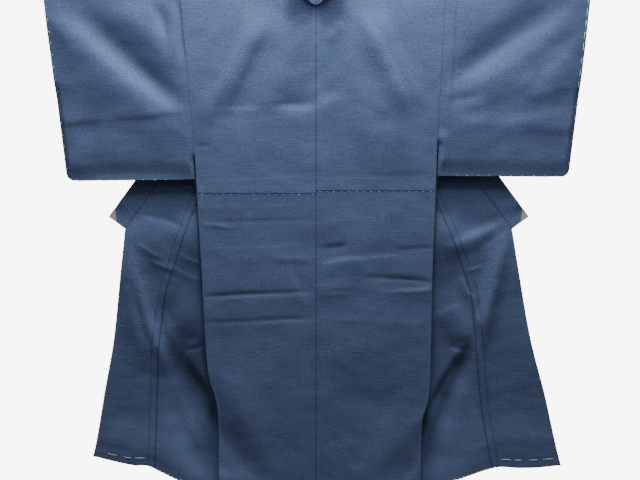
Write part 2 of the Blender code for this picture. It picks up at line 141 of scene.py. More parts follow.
# Dark lines in the silk: the seams' own lines, and painted shade along the edges of turned
# allowances; how dark each one is, from 0 to 1, and how wide
SEAM_AND_SHADE_LINES = {
    "front": (1.0, 0.0016), "side": (0.12, 0.0016), "centre": (0.75, 0.0015),
    "tuck": (0.2, 0.0007), "okumi": (0.65, 0.0013), "turning_shade": (0.95, 0.0016),
    "okumi top": (0.5, 0.0016), "sleeve": (0.6, 0.0016), "armhole": (1.0, 0.0016),
    "sleeve turning shade": (0.25, 0.0020), "collar": (0.35, 0.004),
}

# Stitches: where a line's first one starts, their pitch and length, their share of the
# thread's radius, and the seed of their unevenness. Each dives into the cloth at its ends.
Stitch = namedtuple("Stitch", "first pitch length thickness seed")
CUFF_STITCH = {
    "left": Stitch(0.03, 0.029, 0.005, 0.8, 11),
    "right": Stitch(0.03, 0.029, 0.021, 0.8, 11),
}
CLOSED_CUFF_STITCH = Stitch(0.01, 0.029, 0.005, 0.6, 18)
SLEEVE_BOTTOM_STITCH = Stitch(0.03, 0.028, 0.004, 0.55, 12)
OKUMI_HEM_STITCH = Stitch(0.008, 0.036, 0.027, 0.7, 13)
FRONT_EDGE_STITCH = Stitch(0.01, 0.013, 0.008, 0.8, 14)
WING_HEM_STITCH = Stitch(0.005, 0.013, 0.006, 0.8, 15)
BACK_HEM_STITCH = Stitch(0.01, 0.028, 0.010, 0.8, 16)
TUCK_STITCH = Stitch(0.01, 0.019, 0.0045, 0.5, 17)
STITCH_RISE = 0.9
STITCH_DIVE = 1.7

# Where the stitches run: rows and columns counted from an edge of a grid, and a drop
# below the tuck
BELOW_TUCK = 0.0030
CUFF_ROWS = (8, 52)
CUFF_COLUMN = -4
SLEEVE_BOTTOM_ROW = 3
SLEEVE_BOTTOM_COLUMNS = slice(6, -4)
OKUMI_HEM_ROW = -9
FRONT_EDGE_COLUMN = -2
FRONT_HEM_ROW = -2
BACK_HEM_ROW = 2

# Row of the collar that the edge of a tip points at
TIP_EDGE_ROW = -8

# Stage
CAMERA_PLACE = (0.0103, -2.4, -0.27)
FLOOR_PLACE = (0.0, 0.10, -2.10)
FLOOR_SIZE = (3.2, 0.9, 0.0)

Pair = namedtuple("Pair", "at left right")
Roll = namedtuple("Roll", "along start end")
Fold = namedtuple("Fold", "x1 drop1 x2 drop2 width lift lean bow grow", defaults=(0.0, 0.0, 1.0))


def pairs(*rows):
    """A table of rows: a drop or a distance, and its values on the left and right."""
    return [Pair(*row) for row in rows]


SIDE_EDGE = pairs(
    (0.00, 0.341, 0.3225), (0.20, 0.326, 0.3175), (0.38, 0.3135, 0.3110),
    (0.49, 0.3085, 0.3092), (0.71, 0.3000, 0.3050), (0.92, 0.2927, 0.3043),
    (1.02, 0.2850, 0.3035), (1.08, 0.2680, 0.3000), (1.14, 0.2630, 0.2850),
    (LENGTH, 0.2660, 0.2845),
)
ROLL_LINE = pairs(
    (0.00, 0.112, 0.112), (0.20, 0.142, 0.141), (0.35, 0.166, 0.166),
    (0.55, 0.200, 0.203), (0.73, 0.230, 0.237), (0.92, 0.246, 0.256),
    (1.08, 0.243, 0.266), (LENGTH, 0.246, 0.266),
)
COLLAR_SEAM = pairs(
    (0.00, 0.090, 0.090), (0.10, 0.143, 0.143), (0.20, 0.196, 0.200),
    (0.35, 0.300, 0.310), (0.51, 0.415, 0.428), (COLLAR_END_DROP, 0.500, 0.514),
)
OKUMI_SEAM = pairs(
    (0.205, 0.1986, 0.2022), (0.35, 0.252, 0.256), (0.514, 0.3136, 0.3165),
    (0.613, 0.3551, 0.3620), (0.734, 0.3976, 0.4090), (0.793, 0.4177, 0.4280),
    (0.925, 0.4381, 0.4450), (1.10, 0.4500, 0.4640), (LENGTH, 0.4590, 0.4990),
)
OKUMI_EDGE = pairs(
    (COLLAR_END_DROP, 0.5005, 0.5135), (0.77, 0.5195, 0.5420), (0.925, 0.5409, 0.5739),
    (1.10, 0.5740, 0.6210), (LENGTH, 0.6091, 0.6687),
)
HEM_RISE = pairs(
    (0.27, 0.000, 0.000), (0.37, 0.0147, 0.0145), (0.42, 0.038, 0.030),
    (0.46, 0.058, 0.045), (0.50, 0.060, 0.055), (0.55, 0.071, 0.052),
    (0.61, 0.086, 0.054), (0.67, 0.090, 0.061),
)
HEM_RISE_POWER = 8
CUFF = pairs(
    (0.00, 0.684, 0.689), (0.19, 0.668, 0.6755), (0.47, 0.6440, 0.6525),
    (0.50, 0.6420, 0.6505),
)
SLEEVE_BOTTOM = pairs(
    (0.30, 0.490, 0.481), (0.65, 0.4945, 0.484),
)
# The back neck edge goes round the rod: 90 is level with its axis at the back
NECK_EDGE = pairs(
    (-90, 0.090, 0.090), (-30, 0.084, 0.084), (10, 0.074, 0.074),
    (50, 0.052, 0.052), (70, 0.030, 0.030), (90, 0.000, 0.000),
)
# The collar leaves its seam at one angle and ends at another: 0 is flat beside
# the panel, 180 is folded back onto it. The distance runs from the centre back.
COLLAR_ROLL = [
    Roll(0.000, 172, 181), Roll(0.010, 141, 184), Roll(0.020, 125, 187), Roll(0.030, 112, 190),
    Roll(0.056, 88, 182), Roll(0.075, 70, 140), Roll(0.100, 50, 95), Roll(0.125, 30, 50),
    Roll(0.160, 10, 15), Roll(0.200, 0, 0),
]

# How far a fold runs past its ends, how it tapers and how far it can lean, as shares, and
# the swells of cloth that has no fold
FOLD_END = 0.10
FOLD_TAPER = 0.42
FOLD_LEAN = 0.80
FOLD_LEAN_REACH = 0.6
SWELL_LENGTHS = (0.26, 0.15, 0.09, 0.055, 0.034)
SWELL_HEIGHT = 0.0010
FULL_TURN = 6.28


def folds_of(*rows):
    """Folds from rows in millimetres; the lean and the growth are shares."""
    scale = Fold(*[MILLIMETRE] * 6, 1.0, MILLIMETRE, 1.0)
    return [Fold(*np.multiply(Fold(*row), scale)) for row in rows]


# Each fold is a crest line from one point (x, drop) to another, its width on either side, its
# lift towards the viewer of the back (below 0 for a trough), how steep its lower side is, its
# bow, and how much wider it ends than it begins. The last three may be left out. The first folds
# were placed by hand, most were then fitted to the photograph by a script that isn't part of
# this file, and the last ones, with the crisp ones among them, were added or moved by hand.
SLEEVE_FOLDS = folds_of(
    (-609, 59, -338, 313, 39.9, -10.3, 0, 3, 0.7), (-680, 74, -354, 345, 63.3, 9.1, -0.5, 7, 0.8),
    (-432, 43, -374, 173, 17.9, 2.3, -0.4, -4, 0.8), (-387, 56, -375, 186, 18.7, -4.9, -0.4, 1, 0.8),
    (-503, 38, -343, 202, 42.3, 6, 0.1, -2, 0.7), (-354, 32, -338, 190, 24.8, -6, 0.2, -29),
    (-689, 140, -557, 206, 69.9, -2.4, -0.9, 29), (-667, 77, -611, 152, 21.4, 1.9, 0.4),
    (-690, 177, -598, 259, 20.9, 1.5, 0.2, 24), (-462, 293, -321, 384, 14.5, 0.5, -0.1, 1, 0.7),
    (-561, 359, -424, 374, 12.7, -0.6, 0.2, 7), (-451, 367, -317, 385, 34.9, 1.7, -0.1, -5, 0.7),
    (-600, 492, -351, 500, 42.9, -7.5, 0.6, 16), (-618, 351, -549, 363, 52.2, -3, 0.3, 4),
    (626, 42, 334, 246, 39.5, -10.2, 0.2, -3, 0.7), (669, 64, 365, 284, 52.5, 3, -0.7, 22, 0.7),
    (523, 42, 331, 129, 46.9, 0.7, 0.8, 6, 0.8), (645, 129, 525, 258, 44.2, -4.3, 0.5, -8),
    (682, 130, 583, 184, 18.3, 1.6, -0.3, 4), (663, 181, 573, 239, 35.4, 2.7, 0, 14),
    (666, 255, 574, 270, 15.3, 0.9, -0.4, -4), (599, 299, 664, 318, 38.9, -1.8, 0.1, 13, 0.8),
    (472, 355, 661, 325, 39.7, 3.1, -0.6, 4, 0.9), (332, 294, 412, 278, 13.6, -1.5, -0.1, -1),
    (337, 339, 448, 318, 60.3, 3.3, -0.7, -8), (522, 369, 656, 388, 30.6, -1.9, -0.6, 6),
    (333, 324, 518, 302, 24.8, -1.7, 0.2, -2), (318, 367, 312, 462, 15.8, 4.8, -0.7, -8),
    (397, 453, 627, 426, 58.8, -1.3, -0.8, -38), (372, 346, 521, 356, 13.9, 0.9, -0.1, -1),
    (539, 212, 590, 284, 31.4, 2.2, 0.3, 20), (-658, 344, -540, 331, 16.4, 2.3, 0.5),
    (-551, 333, -316, 308, 13.9, 1.7, 0.4, 3), (-667, 435, -318, 435, 55.4, 1.3),
    (334, 435, 672, 435, 55.4, 0.4),
)
BACK_FOLDS = folds_of(
    (-100, 112, -214, 340, 35.7, -8, -0.5, -6, 0.9), (-116, 66, -246, 312, 68.3, 8, -0.8, 5, 0.9),
    (-249, 318, -136, 314, 15.6, 1.2, -0.7, 1), (-178, 298, 5, 286, 11, 0.6, 0.5, -4, 0.9),
    (-106, 299, 11, 293, 16.3, -4.1, 0.3, 1, 1.2), (-29, 71, -77, 109, 10.9, -0.9, 0.7, -8, 1.4),
    (-13, 83, -56, 157, 13.4, 1.4, 0.4, 12, 1.2), (-42, 204, -97, 302, 17.7, 1.1, 0, -27),
    (-67, 192, 0, 266, 97.7, -2, 0.4, -42), (-318, 406, -266, 407, 6.6, -0.8, 0.4, -1, 0.6),
    (-304, 294, -246, 310, 44.8, 3.9, 0.2, 13), (-278, 194, -232, 89, 8.8, 1.3, -0.2, -10),
    (-297, 359, -41, 344, 37.2, 0.9, -0.8, 2), (-320, 488, 5, 473, 13.9, -0.5, 0.9, 2),
    (-5, 483, 319, 482, 6.6, -0.5, 0.5, -1), (2, 94, 67, 89, 27.6, -1.3, -0.1, 10),
    (30, 146, 64, 93, 14.7, 3.8, -0.2, 1), (105, 69, 236, 331, 24.9, 6.8, -0.2, -7, 0.9),
    (129, 37, 263, 307, 46.3, 6.2, -0.6, 4, 0.9), (9, 321, 77, 274, 22.4, 1.8, -0.2, -3, 0.8),
    (91, 285, 202, 351, 24.1, -1, -0.5, 6), (206, 277, 273, 286, 45.8, 0.9, -0.9, 9),
    (2, 206, 42, 289, 54.3, -2.4, -0.7, 19), (96, 401, 255, 366, 146.5, 6.9, 0.2, -37),
    (-303, 605, -203, 619, 5.7, 0.9, 0, 0, 0.7), (-266, 708, -140, 697, 29.8, 0.5, 0.8, -4, 0.8),
    (-121, 697, -5, 705, 11.2, 1.1, 0, -3, 0.8), (-297, 800, -142, 789, 5.6, -1.3, 0.1),
    (-179, 793, 8, 783, 5.6, -0.9, -0.1, 1), (-293, 855, -142, 845, 20.4, 0.3, 0.9, -1, 0.8),
    (-174, 862, 5, 862, 6.3, -0.6, 0, -4, 0.8), (-83, 712, -20, 841, 21.4, 1.6, -0.7, 4),
    (-307, 661, -42, 655, 10.8, -0.5, 0.4, 3), (-295, 566, -41, 562, 9.5, 0.4, -0.3),
    (-243, 929, -243, 1017, 14.4, -1.2, 0.2, -1), (-196, 914, -138, 1187, 46.5, 1.5, -0.4, 23),
    (1, 681, 90, 667, 23.2, -1.6, -0.7, 0, 0.8), (13, 722, 132, 701, 23.6, 2.5, -0.9, -4, 0.8),
    (104, 694, 230, 684, 19.3, -1.3, 0.8, -7, 0.8), (209, 676, 319, 674, 12.7, -1, -0.6, 3, 1.1),
    (94, 758, 314, 765, 12, -0.9, -0.8, -8), (157, 786, 320, 781, 12.6, 1.1, -0.8, 5, 0.9),
    (0, 799, 132, 795, 24, -1.5, -0.7, 7, 0.9), (-1, 783, 101, 750, 30.5, 2, -0.3, 26),
    (21, 856, 169, 860, 10.3, 0.6, 0.1, 5), (142, 876, 306, 878, 14.7, 0.6, -0.1, -5),
    (53, 949, 97, 1008, 11.2, 0.6, 0.3, 1), (4, 1046, 303, 1113, 44.7, -2, 0.2, 16),
    (240, 887, 245, 1081, 48.9, -1.1, 0.9, -3), (93, 553, 16, 610, 22.5, 0.8, -0.2, 19),
    (-306, 1050, -104, 1321, 40.1, -9.6, 0.4, 29, 1.4), (-230, 1032, -82, 1322, 54.4, 8.5, -0.2, 30, 1.2),
    (-334, 1172, -203, 1325, 26.2, 9.6, 0, 41, 1.2), (307, 1036, 67, 1279, 85.4, -3.8, 0.9, -8, 1.4),
    (259, 1036, 113, 1329, 55.7, 5.1, -0.3, 25, 1.2), (272, 1136, 205, 1320, 43.4, -5.4, 0.8, 26, 1.2),
    (-32, 1136, 16, 1362, 21.4, -1, 0.5, 6), (115, 746, 320, 762, 6.6, -1.5, 0.2, -3),
    (194, 785, 320, 776, 6, 1.2, -0.5, 1), (214, 673, 318, 667, 6, -1.2, 0.2),
    (-305, 800, -42, 786, 6, -0.9, 0.2), (-306, 870, -10, 856, 5.5, -1, 0.2, 3),
    (8, 784, 116, 784, 6.6, -1.1), (8, 667, 88, 659, 8.1, -1.2, 0, 3),
    (-301, 601, 5, 596, 5.5, -0.7),
)
WING_FOLDS = folds_of(
    (-481, 607, -342, 642, 18.1, 2.3, -0.3, -1), (-477, 695, -356, 768, 13.4, 0.5, -0.7, 10, 1.2),
    (-492, 660, -394, 1021, 13, 5.5, -0.1, 14, 1.2), (-436, 673, -420, 913, 30.5, -8, 0.3, 2, 1.2),
    (-504, 678, -480, 944, 23.9, 6.5, -0.5, 3, 1.2), (-402, 802, -347, 943, 30.6, -2.9, 0.6, 3, 1.2),
    (-410, 813, -410, 956, 10, -1.6, 0, 6, 0.8), (-412, 859, -450, 947, 19, -1.4, 0.8, 16, 0.8),
    (-442, 900, -280, 1316, 9.2, 1, 0.1, 9, 1.3), (-410, 853, -262, 1247, 37.4, -17, 0.2, 18, 1.6),
    (-327, 928, -250, 1144, 7.5, -0.5, 0.1, 30, 1.3), (-341, 910, -302, 961, 19.2, -2.3, -0.1, -6),
    (-319, 944, -267, 1083, 18.3, -4.8, -0.3, -10, 1.1), (-435, 957, -531, 1225, 89.7, -7.2, -0.8, 17, 1.2),
    (-508, 814, -562, 1146, 33.9, -2.1, -0.2, 22, 1.2), (-383, 1064, -285, 1319, 38.8, -15.5, 0.1, 19, 1.2),
    (-313, 1154, -243, 1278, 9.4, 0.6, -0.2, -1), (342, 678, 505, 606, 23.8, 6.5, -0.3, 2, 0.8),
    (432, 667, 499, 614, 25.6, -4.7, 0.5, -4), (504, 635, 444, 954, 20.5, 9.6, 0, -12, 1.2),
    (479, 668, 408, 891, 26, -2.3, 0.7, 4, 1.2), (538, 665, 433, 930, 32.1, 1.5, -0.7, -1),
    (385, 749, 418, 810, 8.3, 2.3, -0.9, 7), (434, 813, 434, 950, 7.3, -2.8, 0, 12),
    (434, 889, 315, 1231, 19.8, -6.4, -0.4, 2, 1.5), (414, 940, 313, 1143, 8, -0.4, -0.1, -7, 1.3),
    (456, 896, 343, 1332, 12.1, 2.1, -0.2, -10, 1.3), (354, 934, 416, 911, 18.5, -2.2, 0, 17),
    (387, 937, 347, 1075, 14.5, 2.4, -0.3, 7), (312, 868, 392, 832, 23.5, 1.7, -0.8),
    (499, 956, 577, 1202, 89.7, -3.7, -0.9, 21, 1.2), (575, 1009, 631, 1231, 45.1, -2.3, -0.9, -17, 1.2),
    (366, 1083, 330, 1322, 44.9, -12.6, -0.3, -11, 1.2), (294, 1144, 281, 1287, 7.5, 5.2, 0.3, -6),
    (-549, 586, -278, 604, 50.4, -4.5, 0.5), (288, 604, 560, 586, 50.4, -4.5, 0.5),
    (-463, 596, -354, 625, 9.1, 2.2, -0.5, -4), (-402, 961, -253, 1022, 151.2, -13, -0.3),
    (-392, 775, -249, 813, 95.8, -6.5), (418, 966, 264, 1028, 151.2, -15, -0.3),
    (413, 780, 260, 818, 95.8, -9), (-377, 615, -278, 630, 50.4, 6.5, -0.5),
    (383, 630, 288, 620, 50.4, 6, -0.5), (-520, 646, -384, 678, 70.6, 3.6, -0.5),
    (-401, 710, -291, 770, 7.6, 1.1, -0.6, 5), (-368, 684, -290, 721, 7.6, 0.9, -0.6, 3),
    (411, 794, 437, 889, 6.6, 2.6, -0.7), (-443, 705, -375, 735, 6.6, 1.4, -0.6),
    (-478, 652, -400, 705, 8.1, 1.3, -0.5, 3), (396, 737, 438, 721, 6, 1.4, -0.6),
    (353, 942, 412, 955, 8.1, -1.8, 0.3, 3), (-368, 986, -255, 1165, 30.2, -12, -0.6),
    (415, 944, 303, 1140, 27.7, -11, -0.6), (-359, 958, -292, 939, 8.1, -1.6, 0.3, 3),
    (-422, 835, -415, 942, 6.6, 2.8, -0.7),
)


def sizes():
    return bpy.context.scene.kimono_sizes


def finishes():
    return bpy.context.scene.kimono_finishes


def studio():
    return bpy.context.scene.kimono_studio


def ease(value):
    """A smooth step from 0 to 1."""
    value = np.clip(value, 0.0, 1.0)
    return value * value * (3.0 - 2.0 * value)


def stacked(*parts):
    """Arrays brought to one shape and set side by side along a last axis."""
    return np.stack(np.broadcast_arrays(*parts), axis=-1)


def unit(vectors):
    """The same directions, each with a length of one."""
    return vectors / np.maximum(np.linalg.norm(vectors, axis=-1, keepdims=True), 1e-12)


def lengths_along(points):
    """The distance of each point of a line from its first one."""
    return np.append(0.0, np.cumsum(np.linalg.norm(np.diff(points, axis=0), axis=1)))


def read_line(at, along, values):
    """Vectors read off a line at given distances along it."""
    return np.stack([np.interp(at, along, values[:, k]) for k in range(3)], axis=-1)


def read(table, at, column):
    """A column's values on a smooth curve through the table's rows."""
    keys, values = np.array([(row[0], getattr(row, column)) for row in table], float).T
    index = np.arange(len(keys))
    before = np.maximum(index - 1, 0)
    after = np.minimum(index + 1, len(keys) - 1)
    slopes = (values[after] - values[before]) / (keys[after] - keys[before])
    at = np.clip(np.asarray(at, float), keys[0], keys[-1])
    low = np.clip(np.searchsorted(keys, at, side="right") - 1, 0, len(keys) - 2)
    span = keys[low + 1] - keys[low]
    part = (at - keys[low]) / span
    curve = (values[low + 1] - values[low]) * ease(part)
    curve = curve + part * (1.0 - part) ** 2 * slopes[low] * span
    return values[low] + curve + part * part * (part - 1.0) * slopes[low + 1] * span


def fold_lift(folds, x, drop):
    """How far the folds lift each point towards the viewer of the back."""
    total = np.zeros(np.broadcast(x, drop).shape)
    for fold in folds:
        run = np.array([fold.x2 - fold.x1, fold.drop2 - fold.drop1])
        length = math.hypot(*run)
        across = np.array([-run[1], run[0]]) / length
        if across[1] < 0.0:
            across = -across
        along = ((x - fold.x1) * run[0] + (drop - fold.drop1) * run[1]) / length
        share = np.clip(along / length, -FOLD_END, 1.0 + FOLD_END)
        off = (x - fold.x1) * across[0] + (drop - fold.drop1) * across[1]
        off = off - fold.bow * 4.0 * share * (1.0 - share)
        width = fold.width * (1.0 + (fold.grow - 1.0) * share)
        tilt = fold.lean * np.tanh(off / (FOLD_LEAN_REACH * width))
        spread = off / (width * (1.0 - FOLD_LEAN * tilt))
        taper = ease((share + FOLD_END) / FOLD_TAPER) * ease((1.0 + FOLD_END - share) / FOLD_TAPER)
        total += fold.lift * taper * np.exp(-(spread ** 2))
    return total


def unevenness(x, drop, seed):
    """Small swells that keep a panel from lying dead flat."""
    draw = np.random.default_rng(seed)
    total = np.zeros(np.broadcast(x, drop).shape)
    for wave in SWELL_LENGTHS:
        for _ in range(3):
            turn = draw.uniform(-0.6, 0.6)
            start = draw.uniform(0.0, FULL_TURN)
            across = (drop * math.cos(turn) + x * math.sin(turn) * 0.8) * FULL_TURN / wave
            bend = 1.3 * np.sin(x * 9.0 / wave ** 0.5 + start * 3.0)
            swell = np.sin(across + start + bend)
            total += swell * wave * SWELL_HEIGHT
    return total


def settle(drop):
    """From 0 at the rod to 1 where the layers have come together."""
    return ease(drop / SETTLE_DROP)


def back_depth(drop):
    return -LOOP_RADIUS + (BACK_DEPTH + LOOP_RADIUS) * settle(drop)


def front_depth(drop):
    return LOOP_RADIUS + (FRONT_DEPTH - LOOP_RADIUS) * settle(drop)


def tuck_lift(side, drop):
    """The tuck sewn across the back: its lower edge stands on the cloth below."""
    above = TUCK_DROP[side] - drop
    lift = TUCK_LIFT * ease((TUCK_REACH - above) / TUCK_REACH)
    return np.where((above < 0.0) | (above > TUCK_REACH), 0.0, lift)


def lowered(side, out, drop):
    """The drop of each point once the hem's rise is taken off."""
    return drop - read(HEM_RISE, out, side) * (drop / LENGTH) ** HEM_RISE_POWER


def sign(side):
    """Which way the side lies from the centre line."""
    return -1.0 if side == "left" else 1.0


def place(side, out, depth, drop):
    """Points from distances, depths and drops, in one array of rows and columns."""
    return stacked(sign(side) * out, depth, -drop)


def steps(first, last, step):
    """Even rows from one drop to another, without the first."""
    count = max(1, round(abs(last - first) / step))
    return np.linspace(first, last, count + 1)[1:]


def spaced(width, first, last, count):
    """Distances across a strip: fixed ones near both edges, and even ones between them."""
    width = np.atleast_1d(width)
    first = np.array(first)
    last = np.array(last)[::-1]
    fixed = first[-1] + last[0] + MILLIMETRE
    scale = np.minimum(1.0, FIXED_SHARE * width / fixed)[:, None]
    start = scale * first
    end = width[:, None] - scale * last
    share = np.linspace(0.0, 1.0, count + 2)[1:-1]
    middle = start[:, -1:] + (end[:, :1] - start[:, -1:]) * share
    return np.hstack([start, middle, end])


def seam_and_shade_line(kind, distance):
    """How dark a line is at a distance from it; the lines are seams and painted shade at the edges of turned
    allowances.
    """
    dark, width = SEAM_AND_SHADE_LINES[kind]
    return dark * np.exp(-((distance / width) ** 2))


def normals_of(grid):
    """A unit normal at every point of a grid, from its neighbours."""
    return unit(np.cross(np.gradient(grid, axis=0), np.gradient(grid, axis=1)))


def add_object(name, data):
    """A new object at the origin with this mesh, light or camera."""
    made = bpy.data.objects.new(name, data)
    bpy.context.scene.collection.objects.link(made)
    return made


def cloth_wall(name, cloth, thickness, outer_sign, outside, inside):
    """A closed wall of even thickness round a grid, with its outer and its lining finish.

    Its UV map is in metres along the cloth, which the weave follows.
    """
    grid = cloth["points"]
    normal = normals_of(grid) * outer_sign
    rows, columns = grid.shape[:2]
    outer = grid + normal * thickness / 2
    inner = grid - normal * thickness / 2
    points = np.concatenate([outer.reshape(-1, 3), inner.reshape(-1, 3)])
    number = np.arange(rows * columns).reshape(rows, columns)
    square = stacked(number[:-1, :-1], number[:-1, 1:], number[1:, 1:], number[1:, :-1]).reshape(-1, 4)
    shift = rows * columns
    rim = np.concatenate([number[0], number[1:, -1], number[-1, -2::-1], number[-2:0:-1, 0]])
    ahead = np.roll(rim, -1)
    sides = stacked(rim, rim + shift, ahead + shift, ahead)
    if outer_sign < 0:
        square, sides = square[:, ::-1], sides[:, ::-1]
    faces = np.concatenate([square, square[:, ::-1] + shift, sides])
    mesh = bpy.data.meshes.new(name)
    mesh.from_pydata(points.tolist(), [], faces.tolist())
    for finish in (outside, inside):
        mesh.materials.append(finish)
    kind = np.zeros(len(faces), np.int32)
    kind[len(square):2 * len(square)] = 1
    mesh.polygons.foreach_set("material_index", kind)
    corner = np.zeros(len(mesh.loops), np.int32)
    mesh.loops.foreach_get("vertex_index", corner)
    weave = np.concatenate([cloth["uv"].reshape(-1, 2)] * 2)
    layer = mesh.uv_layers.new(name="cloth")
    layer.data.foreach_set("uv", weave[corner].astype(np.float32).ravel())
    # The seam attribute holds the seams' dark lines and the painted shade along the edges of turned
    # allowances.
    mark = mesh.attributes.new("seam", "FLOAT", "POINT")
    mark.data.foreach_set("value", np.concatenate([cloth["seam"].ravel()] * 2).astype(np.float32))
    mesh.shade_smooth()
    mesh.set_sharp_from_angle(angle=math.radians(SHARP_ANGLE))
    return add_object(name, mesh)


def back_surface(side, inward, out, drop):
    """The depth of the back, with its folds and its tuck."""
    x = sign(side) * out
    lift = fold_lift(BACK_FOLDS, x, drop) + tuck_lift(side, drop) + unevenness(x, drop, 3)
    free = FREE_EDGE_FOLD * ease((drop - ARMHOLE_DROP[side]) / SIDE_SEAM_START)
    return back_depth(drop) - lift * ease(inward / BACK_FOLD_FADE + free)


def wing_width(side, drop):
    """The width of the front beyond the roll line, up to its seam."""
    drop = np.asarray(drop, float)
    low = np.maximum(drop, ROLL_START_DROP)
    seam = np.where(low < OKUMI_TOP_DROP, read(COLLAR_SEAM, low, side), read(OKUMI_SEAM, low, side))
    full = seam - read(ROLL_LINE, low, side)
    share = np.minimum(drop / ROLL_START_DROP, 1.0)
    return NECK_SPARE + (full - NECK_SPARE) * share


def wing_depth(side, out, drop):
    """The depth of the opened front's outer layer."""
    x = sign(side) * out
    lift = fold_lift(WING_FOLDS, x, drop) + unevenness(x, drop, 7)
    roll = read(ROLL_LINE, drop, side)
    lift = lift * ease((out - roll) / WING_FOLD_FADE)
    hidden = ease((read(SIDE_EDGE, drop, side) + HIDDEN_MARGIN - out) / HIDDEN_REACH)
    lift = lift - hidden * np.maximum(lift - WING_ROOM, 0.0)
    return front_depth(drop) + ROLLED_DEPTH - lift


def wing_map(side, out, drop):
    """The weave on the wing: turned over about the roll line, twice its slant."""
    roll = read(ROLL_LINE, drop, side)
    near = 0.02
    moved = read(ROLL_LINE, drop + near, side) - read(ROLL_LINE, drop - near, side)
    slant = np.arctan(moved / (2 * near))
    beyond = out - roll
    return stacked(roll - beyond * np.cos(2 * slant), -drop - beyond * np.sin(2 * slant))


def front_part(side, drop):
    """Rows of the front: in from the side seam, round the roll line, and out to the seam."""
    line = drop[:, None]
    outer = read(SIDE_EDGE, line, side)
    roll = read(ROLL_LINE, line, side)
    layer = front_depth(line)
    sewn = ease((line - ARMHOLE_DROP[side]) / SIDE_SEAM_START)
    inward = spaced((outer - roll)[:, 0], SEAM_COLUMNS, (0.0,), FRONT_COLUMNS)
    out = outer - inward
    joined = sewn * (1.0 - ease(inward / SIDE_SEAM_REACH))
    sewn_depth = back_surface(side, inward, out, line) + SEWN_STEP
    depth = layer + (sewn_depth - layer) * joined
    turn = math.pi * ease(line / ROLL_START_DROP)
    arc = math.pi * ROLL_RADIUS / ROLL_COLUMNS
    heading = turn * (np.arange(ROLL_COLUMNS) + 0.5) / ROLL_COLUMNS
    rolled_out = out[:, -1:] - np.cumsum(np.cos(heading), axis=1) * arc
    rolled_depth = depth[:, -1:] + np.cumsum(np.sin(heading), axis=1) * arc
    beyond = spaced(wing_width(side, drop), (0.0,), PAIR_COLUMNS, WING_COLUMNS)
    from_seam = (beyond[:, -1:] - beyond)[:, 1:]
    beyond = beyond[:, 1:]
    wing_out = rolled_out[:, -1:] - np.cos(turn) * beyond
    near_depth = rolled_depth[:, -1:] + np.sin(turn) * beyond
    flat = ease((line - ROLL_START_DROP * 0.9) / WING_LEVEL_REACH)
    far_depth = wing_depth(side, wing_out, line)
    wing = near_depth + (far_depth - near_depth) * flat
    columns = np.hstack([out, rolled_out, wing_out])
    depths = np.hstack([depth, rolled_depth, wing])
    points = place(side, columns, depths, lowered(side, columns, line))
    start_map = stacked(out, -line)
    roll_map = stacked(out[:, -1:] - arc * np.arange(1, ROLL_COLUMNS + 1), -line)
    maps = np.concatenate([start_map, roll_map, wing_map(side, roll + beyond, line)], axis=1)
    edge = seam_and_shade_line("okumi", from_seam)
    # Painted shade: a dark line along the edge of the turned allowance, standing in for the shadow of its
    # step under the cloth.
    turning_shade = seam_and_shade_line("turning_shade", from_seam - ALLOWANCE)
    turning_shade = turning_shade * ease((line - OKUMI_TOP_DROP) / TURNING_START)
    mark = np.hstack([seam_and_shade_line("front", inward), np.zeros(rolled_out.shape), np.maximum(edge, turning_shade)])
    return points, maps, mark


def loop_angles():
    """The rows over the rod: 90 degrees is level with its axis at the back."""
    return np.radians(np.linspace(90.0, -90.0, LOOP_STEPS + 1))[:, None]


def over_rod(side, out, angle):
    """Points and places in the weave of the cloth that lies over the rod."""
    points = place(side, out, -LOOP_RADIUS * np.sin(angle), -LOOP_RADIUS * np.cos(angle))
    return points, stacked(out, -LOOP_RADIUS * (math.pi / 2 - angle))


def body_cloth(side):
    """One strip from the back hem over the rod and down to the front hem."""
    front_rows = steps(0.0, LENGTH, ROW_STEP)
    front_points, front_map, front_mark = front_part(side, front_rows)
    count = front_points.shape[1]
    first = front_part(side, np.array([0.0]))[0][0]
    reach = np.abs(first[:, 0])
    shares = (reach[0] - reach) / (reach[0] - reach[-1])
    tuck = TUCK_DROP[side]
    rows = steps(0.0, LENGTH, ROW_STEP)
    rows = rows[np.abs(rows - tuck - TUCK_MIDDLE) > TUCK_CLEAR]
    rows = np.sort(np.append(rows, tuck + np.array(TUCK_ROWS)))[::-1]
    line = rows[:, None]
    width = read(SIDE_EDGE, line, side)
    even = spaced(width[:, 0], SEAM_COLUMNS, SEAM_COLUMNS, count - 2 * len(SEAM_COLUMNS)) / width
    blend = ease(line / EVEN_BY_DROP)
    inward = width * (shares * (1.0 - blend) + even * blend)
    out = width - inward
    points = place(side, out, back_surface(side, inward, out, line), line)
    maps = stacked(out, line)
    centre = seam_and_shade_line("centre", out)
    near_tuck = seam_and_shade_line("tuck", line - tuck - TUCK_LINE_BELOW)
    mark = np.maximum(np.maximum(seam_and_shade_line("side", inward), centre), near_tuck)
    angle = loop_angles()
    edge = read(SIDE_EDGE, 0.0, side)
    neck = np.maximum(read(NECK_EDGE, np.degrees(angle), side), 0.0)
    loop_out = edge + (neck - edge) * shares
    loop, loop_map = over_rod(side, loop_out, angle)
    return {
        "points": np.concatenate([points, loop, front_points]),
        "uv": np.concatenate([maps, loop_map, front_map]),
        "seam": np.concatenate([mark, np.zeros(loop_out.shape), front_mark]),
        "back_rows": len(rows),
        "rows": rows,
    }


